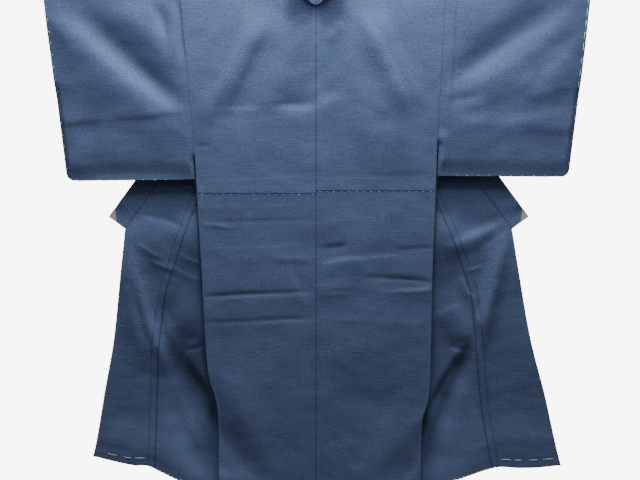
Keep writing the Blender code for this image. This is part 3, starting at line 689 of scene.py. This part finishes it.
def okumi_cloth(side):
    """The overlap panel, from its point at the collar down to the hem."""
    drop = np.append(OKUMI_TOP_DROP, steps(OKUMI_TOP_DROP, LENGTH, ROW_STEP))
    line = drop[:, None]
    inner = read(OKUMI_SEAM, line, side)
    low = read(OKUMI_EDGE, line, side)
    outer = np.where(line < COLLAR_END_DROP, read(COLLAR_SEAM, line, side), low)
    inward = spaced((outer - inner)[:, 0], SEAM_COLUMNS, SEAM_COLUMNS, OKUMI_COLUMNS)
    out = inner + inward
    points = place(side, out, wing_depth(side, out, line), lowered(side, out, line))
    far = seam_and_shade_line("okumi top", outer - out) * (line < COLLAR_END_DROP)
    return {
        "points": points,
        "uv": wing_map(side, out, line),
        "seam": np.maximum(seam_and_shade_line("okumi", inward), far),
    }


def sleeve_edges(side, drop):
    """The sleeve's inner and outer edges, with its rounded lower corner."""
    inner = read(SIDE_EDGE, drop, side)
    inner = inner + SLEEVE_FREE_GAP * ease((drop - ARMHOLE_DROP[side]) / SLEEVE_FREE_START)
    outer = read(CUFF, drop, side)
    bottom = read(SLEEVE_BOTTOM, outer, side)
    below = np.clip(drop - (bottom - SLEEVE_CORNER), 0.0, SLEEVE_CORNER)
    return inner, outer - (SLEEVE_CORNER - np.sqrt(SLEEVE_CORNER ** 2 - below ** 2))


def sleeve_layer(side, drop, layer):
    """Points of the sleeve's back or front layer."""
    line = drop[:, None]
    inner, outer = sleeve_edges(side, line)
    inward = spaced((outer - inner)[:, 0], SEAM_COLUMNS, SEAM_COLUMNS, SLEEVE_COLUMNS)
    out = inner + inward
    bottom = read(SLEEVE_BOTTOM, out, side)
    low = ease((line - bottom + SLEEVE_BOTTOM_REACH) / SLEEVE_BOTTOM_REACH)
    at_cuff = ease((line - CUFF_OPENING_DROP) / CUFF_SEAM_START)
    at_cuff = at_cuff * (1.0 - ease((outer - out) / SLEEVE_SEAM_REACH))
    free = ease((line - ARMHOLE_DROP[side]) / SLEEVE_FREE_START)
    at_body = free * (1.0 - ease((out - inner) / SLEEVE_SEAM_REACH))
    closed = np.maximum(low, np.maximum(at_cuff, at_body))
    held = 1.0 - (1.0 - free) * (1.0 - ease((out - inner) / BACK_FOLD_FADE))
    half_gap = SEWN_STEP / 2
    x = sign(side) * out
    if layer == "back":
        depth = back_depth(line)
        depth = depth + (SLEEVE_SEAM_DEPTH - half_gap - depth) * closed
        lift = fold_lift(SLEEVE_FOLDS, x, line) + unevenness(x, line, 5)
        near_bottom = ease((bottom - line) / BOTTOM_FOLD_FADE + BOTTOM_FOLD_LEFT)
        depth = depth - lift * held * (1.0 - CLOSED_FOLD_LOSS * closed) * near_bottom
    else:
        depth = front_depth(line)
        depth = depth + (SLEEVE_SEAM_DEPTH + half_gap - depth) * closed
        lift = unevenness(x, line, 6) + FRONT_FOLD_SHARE * fold_lift(SLEEVE_FOLDS, -x, line)
        depth = depth + lift * held * (1.0 - closed)
    along = np.minimum(line, bottom)
    points = place(side, out, depth, along)
    turned = -1.0 if layer == "front" else 1.0
    maps = stacked(out, turned * along)
    # Painted shade: a dark line along the edge of the sleeve seam's turned allowance, standing in for the
    # shadow of its step.
    turning_shade = seam_and_shade_line("sleeve turning shade", inward - SLEEVE_ALLOWANCE)
    mark = np.maximum(seam_and_shade_line("sleeve", inward), turning_shade * (layer == "back"))
    return points, maps, mark


def sleeve_cloth(side):
    """One strip from the sleeve's back bottom over the rod to its front bottom."""
    bottom = max(getattr(row, side) for row in SLEEVE_BOTTOM)
    rows = steps(0.0, bottom - SLEEVE_CORNER, ROW_STEP)
    turn = np.radians(np.linspace(0.0, 90.0, 9))[1:]
    rows = np.append(rows, bottom - SLEEVE_CORNER * (1.0 - np.sin(turn)))
    back = sleeve_layer(side, rows[::-1], "back")
    front = sleeve_layer(side, rows, "front")
    angle = loop_angles()
    inner, outer = sleeve_edges(side, np.zeros((1, 1)))
    inward = spaced((outer - inner)[:, 0], SEAM_COLUMNS, SEAM_COLUMNS, SLEEVE_COLUMNS)
    out = inner + inward + angle * 0.0
    loop, loop_map = over_rod(side, out, angle)
    return {
        "points": np.concatenate([back[0], loop, front[0]]),
        "uv": np.concatenate([back[1], loop_map, front[1]]),
        "seam": np.concatenate([back[2], seam_and_shade_line("armhole", inward) + angle * 0.0, front[2]]),
        "back_rows": len(rows),
    }


def collar_side(side, body, okumi):
    """Lines across the collar from its seam to its free edge, from the centre back down."""
    first = body["back_rows"]
    body_points = body["points"][first:, -1]
    body_normals = normals_of(body["points"])[first:, -1] * sign(side)
    low = (np.arange(len(body_points)) > LOOP_STEPS) & (-body_points[:, 2] > OKUMI_TOP_DROP)
    last = int(np.argmax(low))
    okumi_points = okumi["points"][:, -1]
    okumi_normals = normals_of(okumi["points"])[:, -1] * sign(side)
    keep = -okumi_points[:, 2] < COLLAR_END_DROP
    end_out = read(COLLAR_SEAM, COLLAR_END_DROP, side)
    end = place(side, end_out, wing_depth(side, end_out, COLLAR_END_DROP), COLLAR_END_DROP)
    points = np.concatenate([body_points[:last], okumi_points[keep], end[None]])
    normal = np.concatenate([body_normals[:last], okumi_normals[keep], okumi_normals[keep][-1:]])
    along = lengths_along(points)
    far = np.linspace(0.0, along[-1], int(along[-1] / ROW_STEP) + 1)
    points = read_line(far, along, points)
    normal = unit(read_line(far, along, normal))
    beside = np.cross(unit(np.gradient(points, axis=0)), normal) * -sign(side)
    beside[0] = (0.0, 0.0, 1.0)
    return points, normal, unit(beside), far


def collar_band(side, body, okumi):
    """The collar's grid on one side, with its distances along and across."""
    points, normal, beside, along = collar_side(side, body, okumi)
    cloth = sizes().cloth
    band = sizes().collar_cloth
    start = np.radians(read(COLLAR_ROLL, along, "start"))[:, None]
    stop = np.radians(read(COLLAR_ROLL, along, "end"))[:, None]
    loose = (NECK_EASE * ease((NECK_EASE_END - along) / NECK_EASE_REACH))[:, None]
    clear = loose + cloth / 2 * np.sin(start)
    turned = points + normal * (cloth / 2 + loose - band / 2 * np.cos(start))
    flat = points + (beside * np.cos(start) + normal * np.sin(start)) * clear
    first = np.where(start > math.pi / 2, turned, flat)
    share = (np.arange(COLLAR_COLUMNS) + 0.5) / COLLAR_COLUMNS
    heading = (start + (stop - start) * share)[..., None]
    step = beside[:, None] * np.cos(heading) + normal[:, None] * np.sin(heading)
    lines = first[:, None] + np.cumsum(step, axis=1) * COLLAR_WIDTH / COLLAR_COLUMNS
    grid = np.concatenate([first[:, None], lines], axis=1)
    across = np.linspace(0.0, COLLAR_WIDTH, COLLAR_COLUMNS + 1)
    maps = stacked(across, along[:, None])
    return grid, maps


def fill(made, **sockets):
    """Links or sets a node's sockets; _0 is the first one, and _ in a name is a space."""
    for name, value in sockets.items():
        target = made.inputs[int(name[1:])] if name[0] == "_" else made.inputs[name.replace("_", " ")]
        if isinstance(value, bpy.types.NodeSocket):
            made.id_data.links.new(value, target)
        else:
            target.default_value = value


def node(tree, kind, settings=None, **sockets):
    """Adds a node with its settings and its filled sockets."""
    made = tree.nodes.new(kind)
    for name, value in (settings or {}).items():
        setattr(made, name, value)
    fill(made, **sockets)
    return made


def scaled(tree, value, factor, rest=0.0):
    """A value times a factor, plus the rest."""
    settings = {"operation": "MULTIPLY_ADD"}
    return node(tree, "ShaderNodeMath", settings, _0=value, _1=factor, _2=rest).outputs[0]


def sine(tree, value):
    return node(tree, "ShaderNodeMath", {"operation": "SINE"}, _0=value).outputs[0]


def blend_colours(tree, share, first, second):
    return node(tree, "ShaderNodeMix", {"data_type": "RGBA"}, _0=share, _6=first, _7=second).outputs[2]


def toned(colour, share):
    """A colour made darker or paler, with its alpha."""
    return tuple(min(1.0, part * share) for part in colour[:3]) + (1.0,)


def blank_finish(name):
    """A new material with its Principled shader and its tree."""
    made = bpy.data.materials.new(name)
    made.use_nodes = True
    return made, made.node_tree, made.node_tree.nodes["Principled BSDF"]


def streaks(tree, where, scale, detail):
    """A noise that is drawn out along the cloth."""
    mapping = node(tree, "ShaderNodeMapping", None, Vector=where, Scale=scale)
    noise = node(tree, "ShaderNodeTexNoise", None, Vector=mapping.outputs[0], Scale=1.0, Detail=detail)
    return noise.outputs["Fac"]


def along_cloth(tree):
    """The cloth's own UV map."""
    return node(tree, "ShaderNodeUVMap", {"uv_map": "cloth"}).outputs[0]


def with_seams_and_painted_shade(tree, colour, dark, strength):
    """A colour with the fine dark lines of the seams, and painted shade along the edges of their turned
    allowances.
    """
    seam = node(tree, "ShaderNodeAttribute", {"attribute_name": "seam"}).outputs["Fac"]
    return blend_colours(tree, scaled(tree, seam, strength), colour, dark)


def bumps(tree, height, strength, distance):
    made = node(tree, "ShaderNodeBump", None, Height=height, Strength=strength, Distance=distance)
    return made.outputs[0]


def woven_silk(name, light, shade, rib):
    """Ribbed silk: fine weft ribs with a small check, slubs along them, and soft blotches."""
    made, tree, shader = blank_finish(name)
    where = along_cloth(tree)
    axes = node(tree, "ShaderNodeSeparateXYZ", None, Vector=where)
    across = sine(tree, scaled(tree, axes.outputs[0], 2 * math.pi / rib))
    wander = scaled(tree, streaks(tree, where, (30.0, 60.0, 1.0), 1.0), 3.0)
    ribs = sine(tree, scaled(tree, axes.outputs[1], 2 * math.pi / rib, wander))
    check = node(tree, "ShaderNodeMath", {"operation": "MULTIPLY"}, _0=across, _1=ribs).outputs[0]
    slub = streaks(tree, where, (26.0, 420.0, 1.0), 3.0)
    fleck = streaks(tree, where, (130.0, 330.0, 1.0), 2.0)
    thread = streaks(tree, where, (420.0, 900.0, 1.0), 2.0)
    blotch = streaks(tree, where, (7.0, 9.0, 1.0), 3.0)
    weave = scaled(tree, check, 0.06, scaled(tree, ribs, 0.03, 0.5))
    for streak, strength in ((slub, 1.0), (fleck, 1.5), (thread, 0.4), (blotch, 0.5)):
        weave = scaled(tree, scaled(tree, streak, 1.0, -0.5), strength, weave)
    woven = blend_colours(tree, weave, toned(shade, 1.0), toned(light, 1.0))
    # The seam attribute darkens the silk along seam lines and paints shade along the edges of turned
    # allowances.
    colours = with_seams_and_painted_shade(tree, woven, toned(shade, 0.25), 0.75)
    rough = scaled(tree, slub, 0.10, scaled(tree, blotch, 0.12, 0.42))
    height = scaled(tree, thread, 0.8, scaled(tree, ribs, 0.15, scaled(tree, slub, 0.9)))
    fill(shader, Base_Color=colours, Roughness=rough, Normal=bumps(tree, height, 0.35, 0.0006))
    shader.inputs["Specular IOR Level"].default_value = 0.09
    shader.inputs["Specular Tint"].default_value = (0.55, 0.72, 1.0, 1.0)
    shader.inputs["Sheen Weight"].default_value = 0.03
    shader.inputs["Sheen Roughness"].default_value = 0.45
    shader.inputs["Sheen Tint"].default_value = (0.45, 0.62, 1.0, 1.0)
    return made


def plain_lining(name, colour):
    """Smooth lining cloth: a close plain weave with a little unevenness."""
    made, tree, shader = blank_finish(name)
    where = along_cloth(tree)
    thread = streaks(tree, where, (500.0, 900.0, 1.0), 2.0)
    slub = streaks(tree, where, (12.0, 300.0, 1.0), 3.0)
    blotch = streaks(tree, where, (6.0, 6.0, 1.0), 2.0)
    share = scaled(tree, blotch, 0.25, scaled(tree, thread, 0.4, scaled(tree, slub, 0.5)))
    plain = blend_colours(tree, share, toned(colour, 0.72), toned(colour, 1.22))
    # Darker along seam lines, with painted shade along the edges of turned allowances, as on the silk.
    colours = with_seams_and_painted_shade(tree, plain, toned(colour, 0.35), 0.6)
    rough = scaled(tree, blotch, 0.14, 0.55)
    fill(shader, Base_Color=colours, Roughness=rough, Normal=bumps(tree, thread, 0.25, 0.0004))
    shader.inputs["Sheen Weight"].default_value = 0.10
    return made


def twisted_thread(name, colour):
    """White basting cotton with a faint twist."""
    made, tree, shader = blank_finish(name)
    where = node(tree, "ShaderNodeTexCoord").outputs["Object"]
    fibre = streaks(tree, where, (900.0, 900.0, 900.0), 2.0)
    colours = blend_colours(tree, fibre, toned(colour, 0.8), toned(colour, 1.0))
    fill(shader, Base_Color=colours, Roughness=0.8)
    return made


def turned_wood(name, colour):
    """Pale straight-grained wood along the rod, with fine pores and a satin finish."""
    made, tree, shader = blank_finish(name)
    where = node(tree, "ShaderNodeTexCoord").outputs["Object"]
    grain = streaks(tree, where, (3.0, 160.0, 160.0), 5.0)
    pores = streaks(tree, where, (30.0, 1400.0, 1400.0), 2.0)
    broad = streaks(tree, where, (1.2, 40.0, 40.0), 2.0)
    share = scaled(tree, grain, 0.7, scaled(tree, broad, 0.5, -0.25))
    share = scaled(tree, pores, 0.3, share)
    colours = blend_colours(tree, share, toned(colour, 0.55), toned(colour, 1.15))
    rough = scaled(tree, grain, 0.18, 0.34)
    fill(shader, Base_Color=colours, Roughness=rough, Normal=bumps(tree, pores, 0.2, 0.0003))
    return made


def finish_of(name):
    """The material of that name, made when it is first asked for."""
    found = bpy.data.materials.get(name)
    if found:
        return found
    chosen = finishes()
    if name == "navy silk":
        return woven_silk(name, chosen.silk_light, chosen.silk_shade, sizes().rib)
    if name == "grey lining":
        return plain_lining(name, chosen.lining)
    if name == "basting cotton":
        return twisted_thread(name, chosen.thread)
    return turned_wood(name, chosen.wood)


def hang(piece, stands_for):
    """The piece rides on the part's one body and stands for this node."""
    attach(piece, "root")
    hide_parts(stands_for)


def silk_panel(stands_for, cloth, outer_sign):
    """A panel of silk on its lining, which stands for the node of that name."""
    silk, lining = finish_of("navy silk"), finish_of("grey lining")
    piece = cloth_wall("silk_" + stands_for, cloth, sizes().cloth, outer_sign, silk, lining)
    hang(piece, stands_for)
    return piece


def face_line(cloth, outer_sign, rows, columns, stitch):
    """A line on the cloth's outer face, with the kind of stitch that follows it."""
    normal = normals_of(cloth["points"]) * outer_sign
    points = cloth["points"] + normal * sizes().cloth / 2
    return points[rows, columns], normal[rows, columns], stitch


def thread_shape():
    """One stitch, modelled once: a slim closed thread with rounded ends."""
    bpy.ops.object.select_all(action="DESELECT")
    bpy.ops.mesh.primitive_uv_sphere_add(segments=6, ring_count=8, radius=0.5)
    made = bpy.context.object
    bpy.ops.object.mode_set(mode="EDIT")
    bpy.ops.mesh.select_all(action="SELECT")
    bpy.ops.transform.rotate(value=math.pi / 2, orient_axis="Y", center_override=(0.0, 0.0, 0.0))
    bpy.ops.object.mode_set(mode="OBJECT")
    points = np.array([vertex.co for vertex in made.data.vertices])
    faces = [tuple(face.vertices) for face in made.data.polygons]
    bpy.data.objects.remove(made, do_unlink=True)
    return points, faces


def sew(name, lines):
    """Lays stitches along lines on the cloth's face."""
    shape, shape_faces = thread_shape()
    vertices = []
    faces = []
    for points, normal, stitch in lines:
        draw = np.random.default_rng(stitch.seed)
        radius = sizes().thread * stitch.thickness
        along = lengths_along(points)
        tangent = np.gradient(points, axis=0)
        at = stitch.first
        while at + stitch.length < along[-1]:
            real = stitch.length * draw.uniform(0.8, 1.2)
            sway = draw.uniform(-1.0, 1.0) * radius
            here = at + (shape[:, 0] + 0.5) * real
            up = unit(read_line(here, along, normal))
            beside = unit(np.cross(read_line(here, along, tangent), up))
            aside = beside * (2 * shape[:, 1:2] * radius + sway)
            height = radius * (2 * shape[:, 2:] + STITCH_RISE - STITCH_DIVE * (2 * shape[:, :1]) ** 4)
            spot = read_line(here, along, points) + aside + up * height
            faces.extend([tuple(index + len(vertices) for index in face) for face in shape_faces])
            vertices.extend(spot.tolist())
            at += stitch.pitch * draw.uniform(0.92, 1.08)
    mesh = bpy.data.meshes.new(name)
    mesh.from_pydata(vertices, [], faces)
    mesh.shade_smooth()
    mesh.materials.append(finish_of("basting cotton"))
    made = add_object(name, mesh)
    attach(made, "root")


def number(name, description, default, low, high, **kind):
    """A size, a strength or an angle that a user may change."""
    return FloatProperty(name=name, description=description, default=default, min=low, max=high, **kind)


def tint(name, description, default):
    """A colour that a user may change."""
    return FloatVectorProperty(
        name=name, description=description, default=default, min=0.0, max=1.0, subtype="COLOR"
    )


class KimonoSizes(PropertyGroup):
    """Sizes that a user may change; the part's own form stays in the tables."""

    cloth: number("Cloth thickness", "Shell and lining together", 0.0015, 0.0008, 0.0020, unit="LENGTH")
    collar_cloth: number("Collar thickness", "The folded collar band", 0.0026, 0.0015, 0.0030, unit="LENGTH")
    tip_cloth: number("Tip thickness", "The lining at each end", 0.0009, 0.0005, 0.0015, unit="LENGTH")
    rib: number("Rib spacing", "Distance between the silk's ribs", 0.0052, 0.001, 0.02, unit="LENGTH")
    thread: number("Thread radius", "Half the basting's thickness", 0.0005, 0.0002, 0.0010, unit="LENGTH")


class KimonoFinishes(PropertyGroup):
    """Colours of the cloth, the thread and the rod."""

    silk_light: tint("Silk, light", "The silk's colour on the crest of a rib", (0.058, 0.083, 0.154))
    silk_shade: tint("Silk, dark", "The silk's colour between the ribs", (0.028, 0.042, 0.0875))
    lining: tint("Lining", "The lining's colour", (0.17, 0.165, 0.185))
    thread: tint("Basting thread", "The basting cotton's colour", (0.62, 0.68, 0.78))
    wood: tint("Rod", "The rod's wood", (0.52, 0.38, 0.24))


class KimonoStudio(PropertyGroup):
    """Light and camera."""

    surround: number("Surround", "Brightness of the room on the viewer's side", 0.17, 0.0, 5.0)
    backdrop: number("Backdrop", "Brightness behind the kimono", 8.0, 0.0, 50.0)
    top_light: number("Top light", "Power of each wide soft light above", 7.6, 0.0, 1000.0, unit="POWER")
    neck_light: number("Neck light", "Power of the light before the neck", 5.0, 0.0, 1000.0, unit="POWER")
    room_light: number("Room light", "Power of the light high above", 550.0, 0.0, 1000.0, unit="POWER")
    lens: number("Lens", "Focal length of the camera", 52.26, 10.0, 200.0, unit="CAMERA")
    pitch: number("Camera tilt", "How far it looks down", math.radians(9.0), -1.0, 1.0, subtype="ANGLE")


class KIMONO_OT_body_panels(Operator):
    """Hangs the two body panels, from the back hem over the rod to the front hem"""

    bl_idname = "kimono.body_panels"
    bl_label = "Body panels"

    def execute(self, context):
        for side in SIDES:
            piece = silk_panel("body_" + side, body_cloth(side), sign(side))
        return {"FINISHED"}


class KIMONO_OT_overlap_panels(Operator):
    """Sets the two overlap panels beside the fronts"""

    bl_idname = "kimono.overlap_panels"
    bl_label = "Overlap panels"

    def execute(self, context):
        for side in SIDES:
            piece = silk_panel("okumi_" + side, okumi_cloth(side), sign(side))
        return {"FINISHED"}


class KIMONO_OT_sleeves(Operator):
    """Hangs the two sleeves, each one folded piece over the rod"""

    bl_idname = "kimono.sleeves"
    bl_label = "Sleeves"

    def execute(self, context):
        for side in SIDES:
            piece = silk_panel("sleeve_" + side, sleeve_cloth(side), -sign(side))
        return {"FINISHED"}


class KIMONO_OT_collar(Operator):
    """Folds the collar round the neck, with the lining's corners at its two ends"""

    bl_idname = "kimono.collar"
    bl_label = "Collar and its ends"

    def execute(self, context):
        bands = {side: collar_band(side, body_cloth(side), okumi_cloth(side)) for side in SIDES}
        left, left_map = bands["left"]
        right, right_map = bands["right"]
        middle = (left[:1] + right[:1]) / 2
        grid = np.concatenate([left[:0:-1], middle, right[1:]])
        maps = np.concatenate([left_map[:0:-1] * (1.0, -1.0), right_map])
        cloth = {"points": grid, "uv": maps, "seam": seam_and_shade_line("collar", maps[..., 0])}
        silk = finish_of("navy silk")
        piece = cloth_wall("silk_collar", cloth, sizes().collar_cloth, 1.0, silk, silk)
        hang(piece, "collar")
        for side in SIDES:
            self.add_tip(side, bands[side][0])
        return {"FINISHED"}

    def add_tip(self, side, grid):
        """A corner of lining on the collar's end, in rows from the free corner inwards."""
        span = np.linspace(0.0, 1.0, TIP_ROWS)
        out = normals_of(grid)[-1, -1]
        out = out if out[1] < 0.0 else -out
        corner = grid[-1, -1] + out * (sizes().collar_cloth / 2 + TIP_CLEAR + sizes().tip_cloth / 2)
        down_end = unit(grid[-1, 0] - grid[-1, -1]) * TIP_LEG
        up_edge = unit(grid[TIP_EDGE_ROW, -1] - grid[-1, -1]) * TIP_LEG
        reach = 1.0 - span * TIP_TAPER
        points = corner + span[:, None, None] * up_edge + (reach[:, None] * span)[..., None] * down_end
        maps = stacked(reach[:, None] * span, span[:, None]) * TIP_LEG
        cloth = {"points": points, "uv": maps, "seam": np.zeros(points.shape[:2])}
        lining = finish_of("grey lining")
        piece = cloth_wall("lining_tip_" + side, cloth, sizes().tip_cloth, sign(side), lining, lining)
        hang(piece, "collar_tip_" + side)


class KIMONO_OT_basting(Operator):
    """Sews the white basting along cuffs, sleeve bottoms, front edges and hems"""

    bl_idname = "kimono.basting"
    bl_label = "Basting"

    def execute(self, context):
        every = slice(None)
        wing = slice(2 - WING_COLUMNS - len(PAIR_COLUMNS), -2)
        below_collar = slice(int((COLLAR_END_DROP - OKUMI_TOP_DROP) / ROW_STEP) + 4, -3)
        for side in SIDES:
            face = sign(side)
            sleeve, okumi, body = sleeve_cloth(side), okumi_cloth(side), body_cloth(side)
            cuff_opening = slice(CUFF_ROWS[1], sleeve["back_rows"])
            tuck = int(np.argmin(np.abs(body["rows"] - TUCK_DROP[side] - BELOW_TUCK)))
            sew("basting_sleeve_" + side, [
                face_line(sleeve, -face, cuff_opening, CUFF_COLUMN, CUFF_STITCH[side]),
                face_line(sleeve, -face, slice(*CUFF_ROWS), CUFF_COLUMN, CLOSED_CUFF_STITCH),
                face_line(sleeve, -face, SLEEVE_BOTTOM_ROW, SLEEVE_BOTTOM_COLUMNS, SLEEVE_BOTTOM_STITCH),
            ])
            sew("basting_okumi_" + side, [
                face_line(okumi, face, OKUMI_HEM_ROW, every, OKUMI_HEM_STITCH),
                face_line(okumi, face, below_collar, FRONT_EDGE_COLUMN, FRONT_EDGE_STITCH),
            ])
            sew("basting_body_" + side, [
                face_line(body, face, FRONT_HEM_ROW, wing, WING_HEM_STITCH),
                face_line(body, face, BACK_HEM_ROW, every, BACK_HEM_STITCH),
                face_line(body, face, tuck, every, TUCK_STITCH),
            ])
        return {"FINISHED"}


class KIMONO_OT_rod(Operator):
    """Gives the rod its wood"""

    bl_idname = "kimono.rod"
    bl_label = "Rod"

    def execute(self, context):
        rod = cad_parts["rod"]
        rod.data.materials.clear()
        rod.data.materials.append(finish_of("rod wood"))
        return {"FINISHED"}


class KIMONO_OT_studio(Operator):
    """Sets the pale floor, the soft light and the camera of the photograph"""

    bl_idname = "kimono.studio"
    bl_label = "Studio"

    def execute(self, context):
        self.add_floor()
        self.add_surround()
        cool = (0.97, 0.985, 1.0)
        warm = (1.0, 0.97, 0.94)
        lights = studio()
        for side, out in (("left", -0.30), ("right", 0.30)):
            lamp = self.add_light("light above " + side, (0.5, 0.24), lights.top_light, cool)
            self.aim(lamp, (out, -0.23, 0.37), (0.7 * out, -0.02, -0.75))
        lamp = self.add_light("neck light", (0.6, 0.2), lights.neck_light, cool)
        self.aim(lamp, (0.0, -0.50, 0.33), (0.0, -0.01, -0.10))
        lamp = self.add_light("room light", (2.0, 0.7), lights.room_light, warm)
        self.aim(lamp, (0.0, -0.75, 3.00), (0.0, 0.0, -0.90))
        self.add_camera()
        return {"FINISHED"}

    def add_floor(self):
        bpy.ops.object.select_all(action="DESELECT")
        bpy.ops.mesh.primitive_plane_add(size=1.0, location=FLOOR_PLACE)
        floor = bpy.context.object
        floor.name = "floor"
        floor.dimensions = FLOOR_SIZE
        bpy.ops.object.transform_apply(location=True, rotation=True, scale=True)
        made, _, shader = blank_finish("pale floor")
        fill(shader, Base_Color=(0.55, 0.55, 0.54, 1.0), Roughness=0.8)
        floor.data.materials.append(made)

    def add_surround(self):
        world = bpy.data.worlds.new("pale surround")
        bpy.context.scene.world = world
        world.use_nodes = True
        tree = world.node_tree
        background = tree.nodes["Background"]
        background.inputs["Color"].default_value = (1.0, 0.97, 0.93, 1.0)
        way = node(tree, "ShaderNodeTexCoord").outputs["Generated"]
        depth = node(tree, "ShaderNodeSeparateXYZ", None, Vector=way).outputs[1]
        behind = node(tree, "ShaderNodeMapRange", {"interpolation_type": "SMOOTHSTEP"}, Value=depth)
        fill(behind, From_Min=0.70, From_Max=0.85, To_Min=studio().surround, To_Max=studio().backdrop)
        fill(background, Strength=behind.outputs[0])

    def add_light(self, name, size, power, colour):
        lamp = bpy.data.lights.new(name, "AREA")
        lamp.shape = "RECTANGLE"
        lamp.size, lamp.size_y = size
        lamp.energy = power
        lamp.color = colour
        return add_object(name, lamp)

    def aim(self, lamp, start, target):
        lamp.location = start
        lamp.rotation_euler = (Vector(target) - Vector(start)).to_track_quat("-Z", "X").to_euler()

    def add_camera(self):
        camera = bpy.data.cameras.new("photo camera")
        camera.lens = studio().lens
        camera.sensor_width = 36.0
        made = add_object("photo camera", camera)
        made.location = CAMERA_PLACE
        made.rotation_euler = (math.pi / 2 - studio().pitch, 0.0, 0.0)
        bpy.context.scene.camera = made


class KIMONO_PT_panel(Panel):
    """Lists the kimono's pieces, sizes and colours in the sidebar"""

    bl_idname = "KIMONO_PT_panel"
    bl_label = "Kimono"
    bl_space_type = "VIEW_3D"
    bl_region_type = "UI"
    bl_category = "Kimono"

    def draw(self, context):
        for group in (sizes(), finishes(), studio()):
            box = self.layout.box()
            for name in group.__annotations__:
                box.prop(group, name)
        for step in PIECES:
            self.layout.operator(step.bl_idname)


PIECES = (
    KIMONO_OT_rod,
    KIMONO_OT_body_panels,
    KIMONO_OT_overlap_panels,
    KIMONO_OT_sleeves,
    KIMONO_OT_collar,
    KIMONO_OT_basting,
    KIMONO_OT_studio,
)
CLASSES = (KimonoSizes, KimonoFinishes, KimonoStudio, *PIECES, KIMONO_PT_panel)


def register():
    for item in CLASSES:
        bpy.utils.register_class(item)
    bpy.types.Scene.kimono_sizes = PointerProperty(type=KimonoSizes)
    bpy.types.Scene.kimono_finishes = PointerProperty(type=KimonoFinishes)
    bpy.types.Scene.kimono_studio = PointerProperty(type=KimonoStudio)


def unregister():
    del bpy.types.Scene.kimono_studio
    del bpy.types.Scene.kimono_finishes
    del bpy.types.Scene.kimono_sizes
    for item in reversed(CLASSES):
        bpy.utils.unregister_class(item)


def main():
    register()
    bpy.ops.kimono.rod()
    bpy.ops.kimono.body_panels()
    bpy.ops.kimono.overlap_panels()
    bpy.ops.kimono.sleeves()
    bpy.ops.kimono.collar()
    bpy.ops.kimono.basting()
    bpy.ops.kimono.studio()


if __name__ == "__main__":
    main()
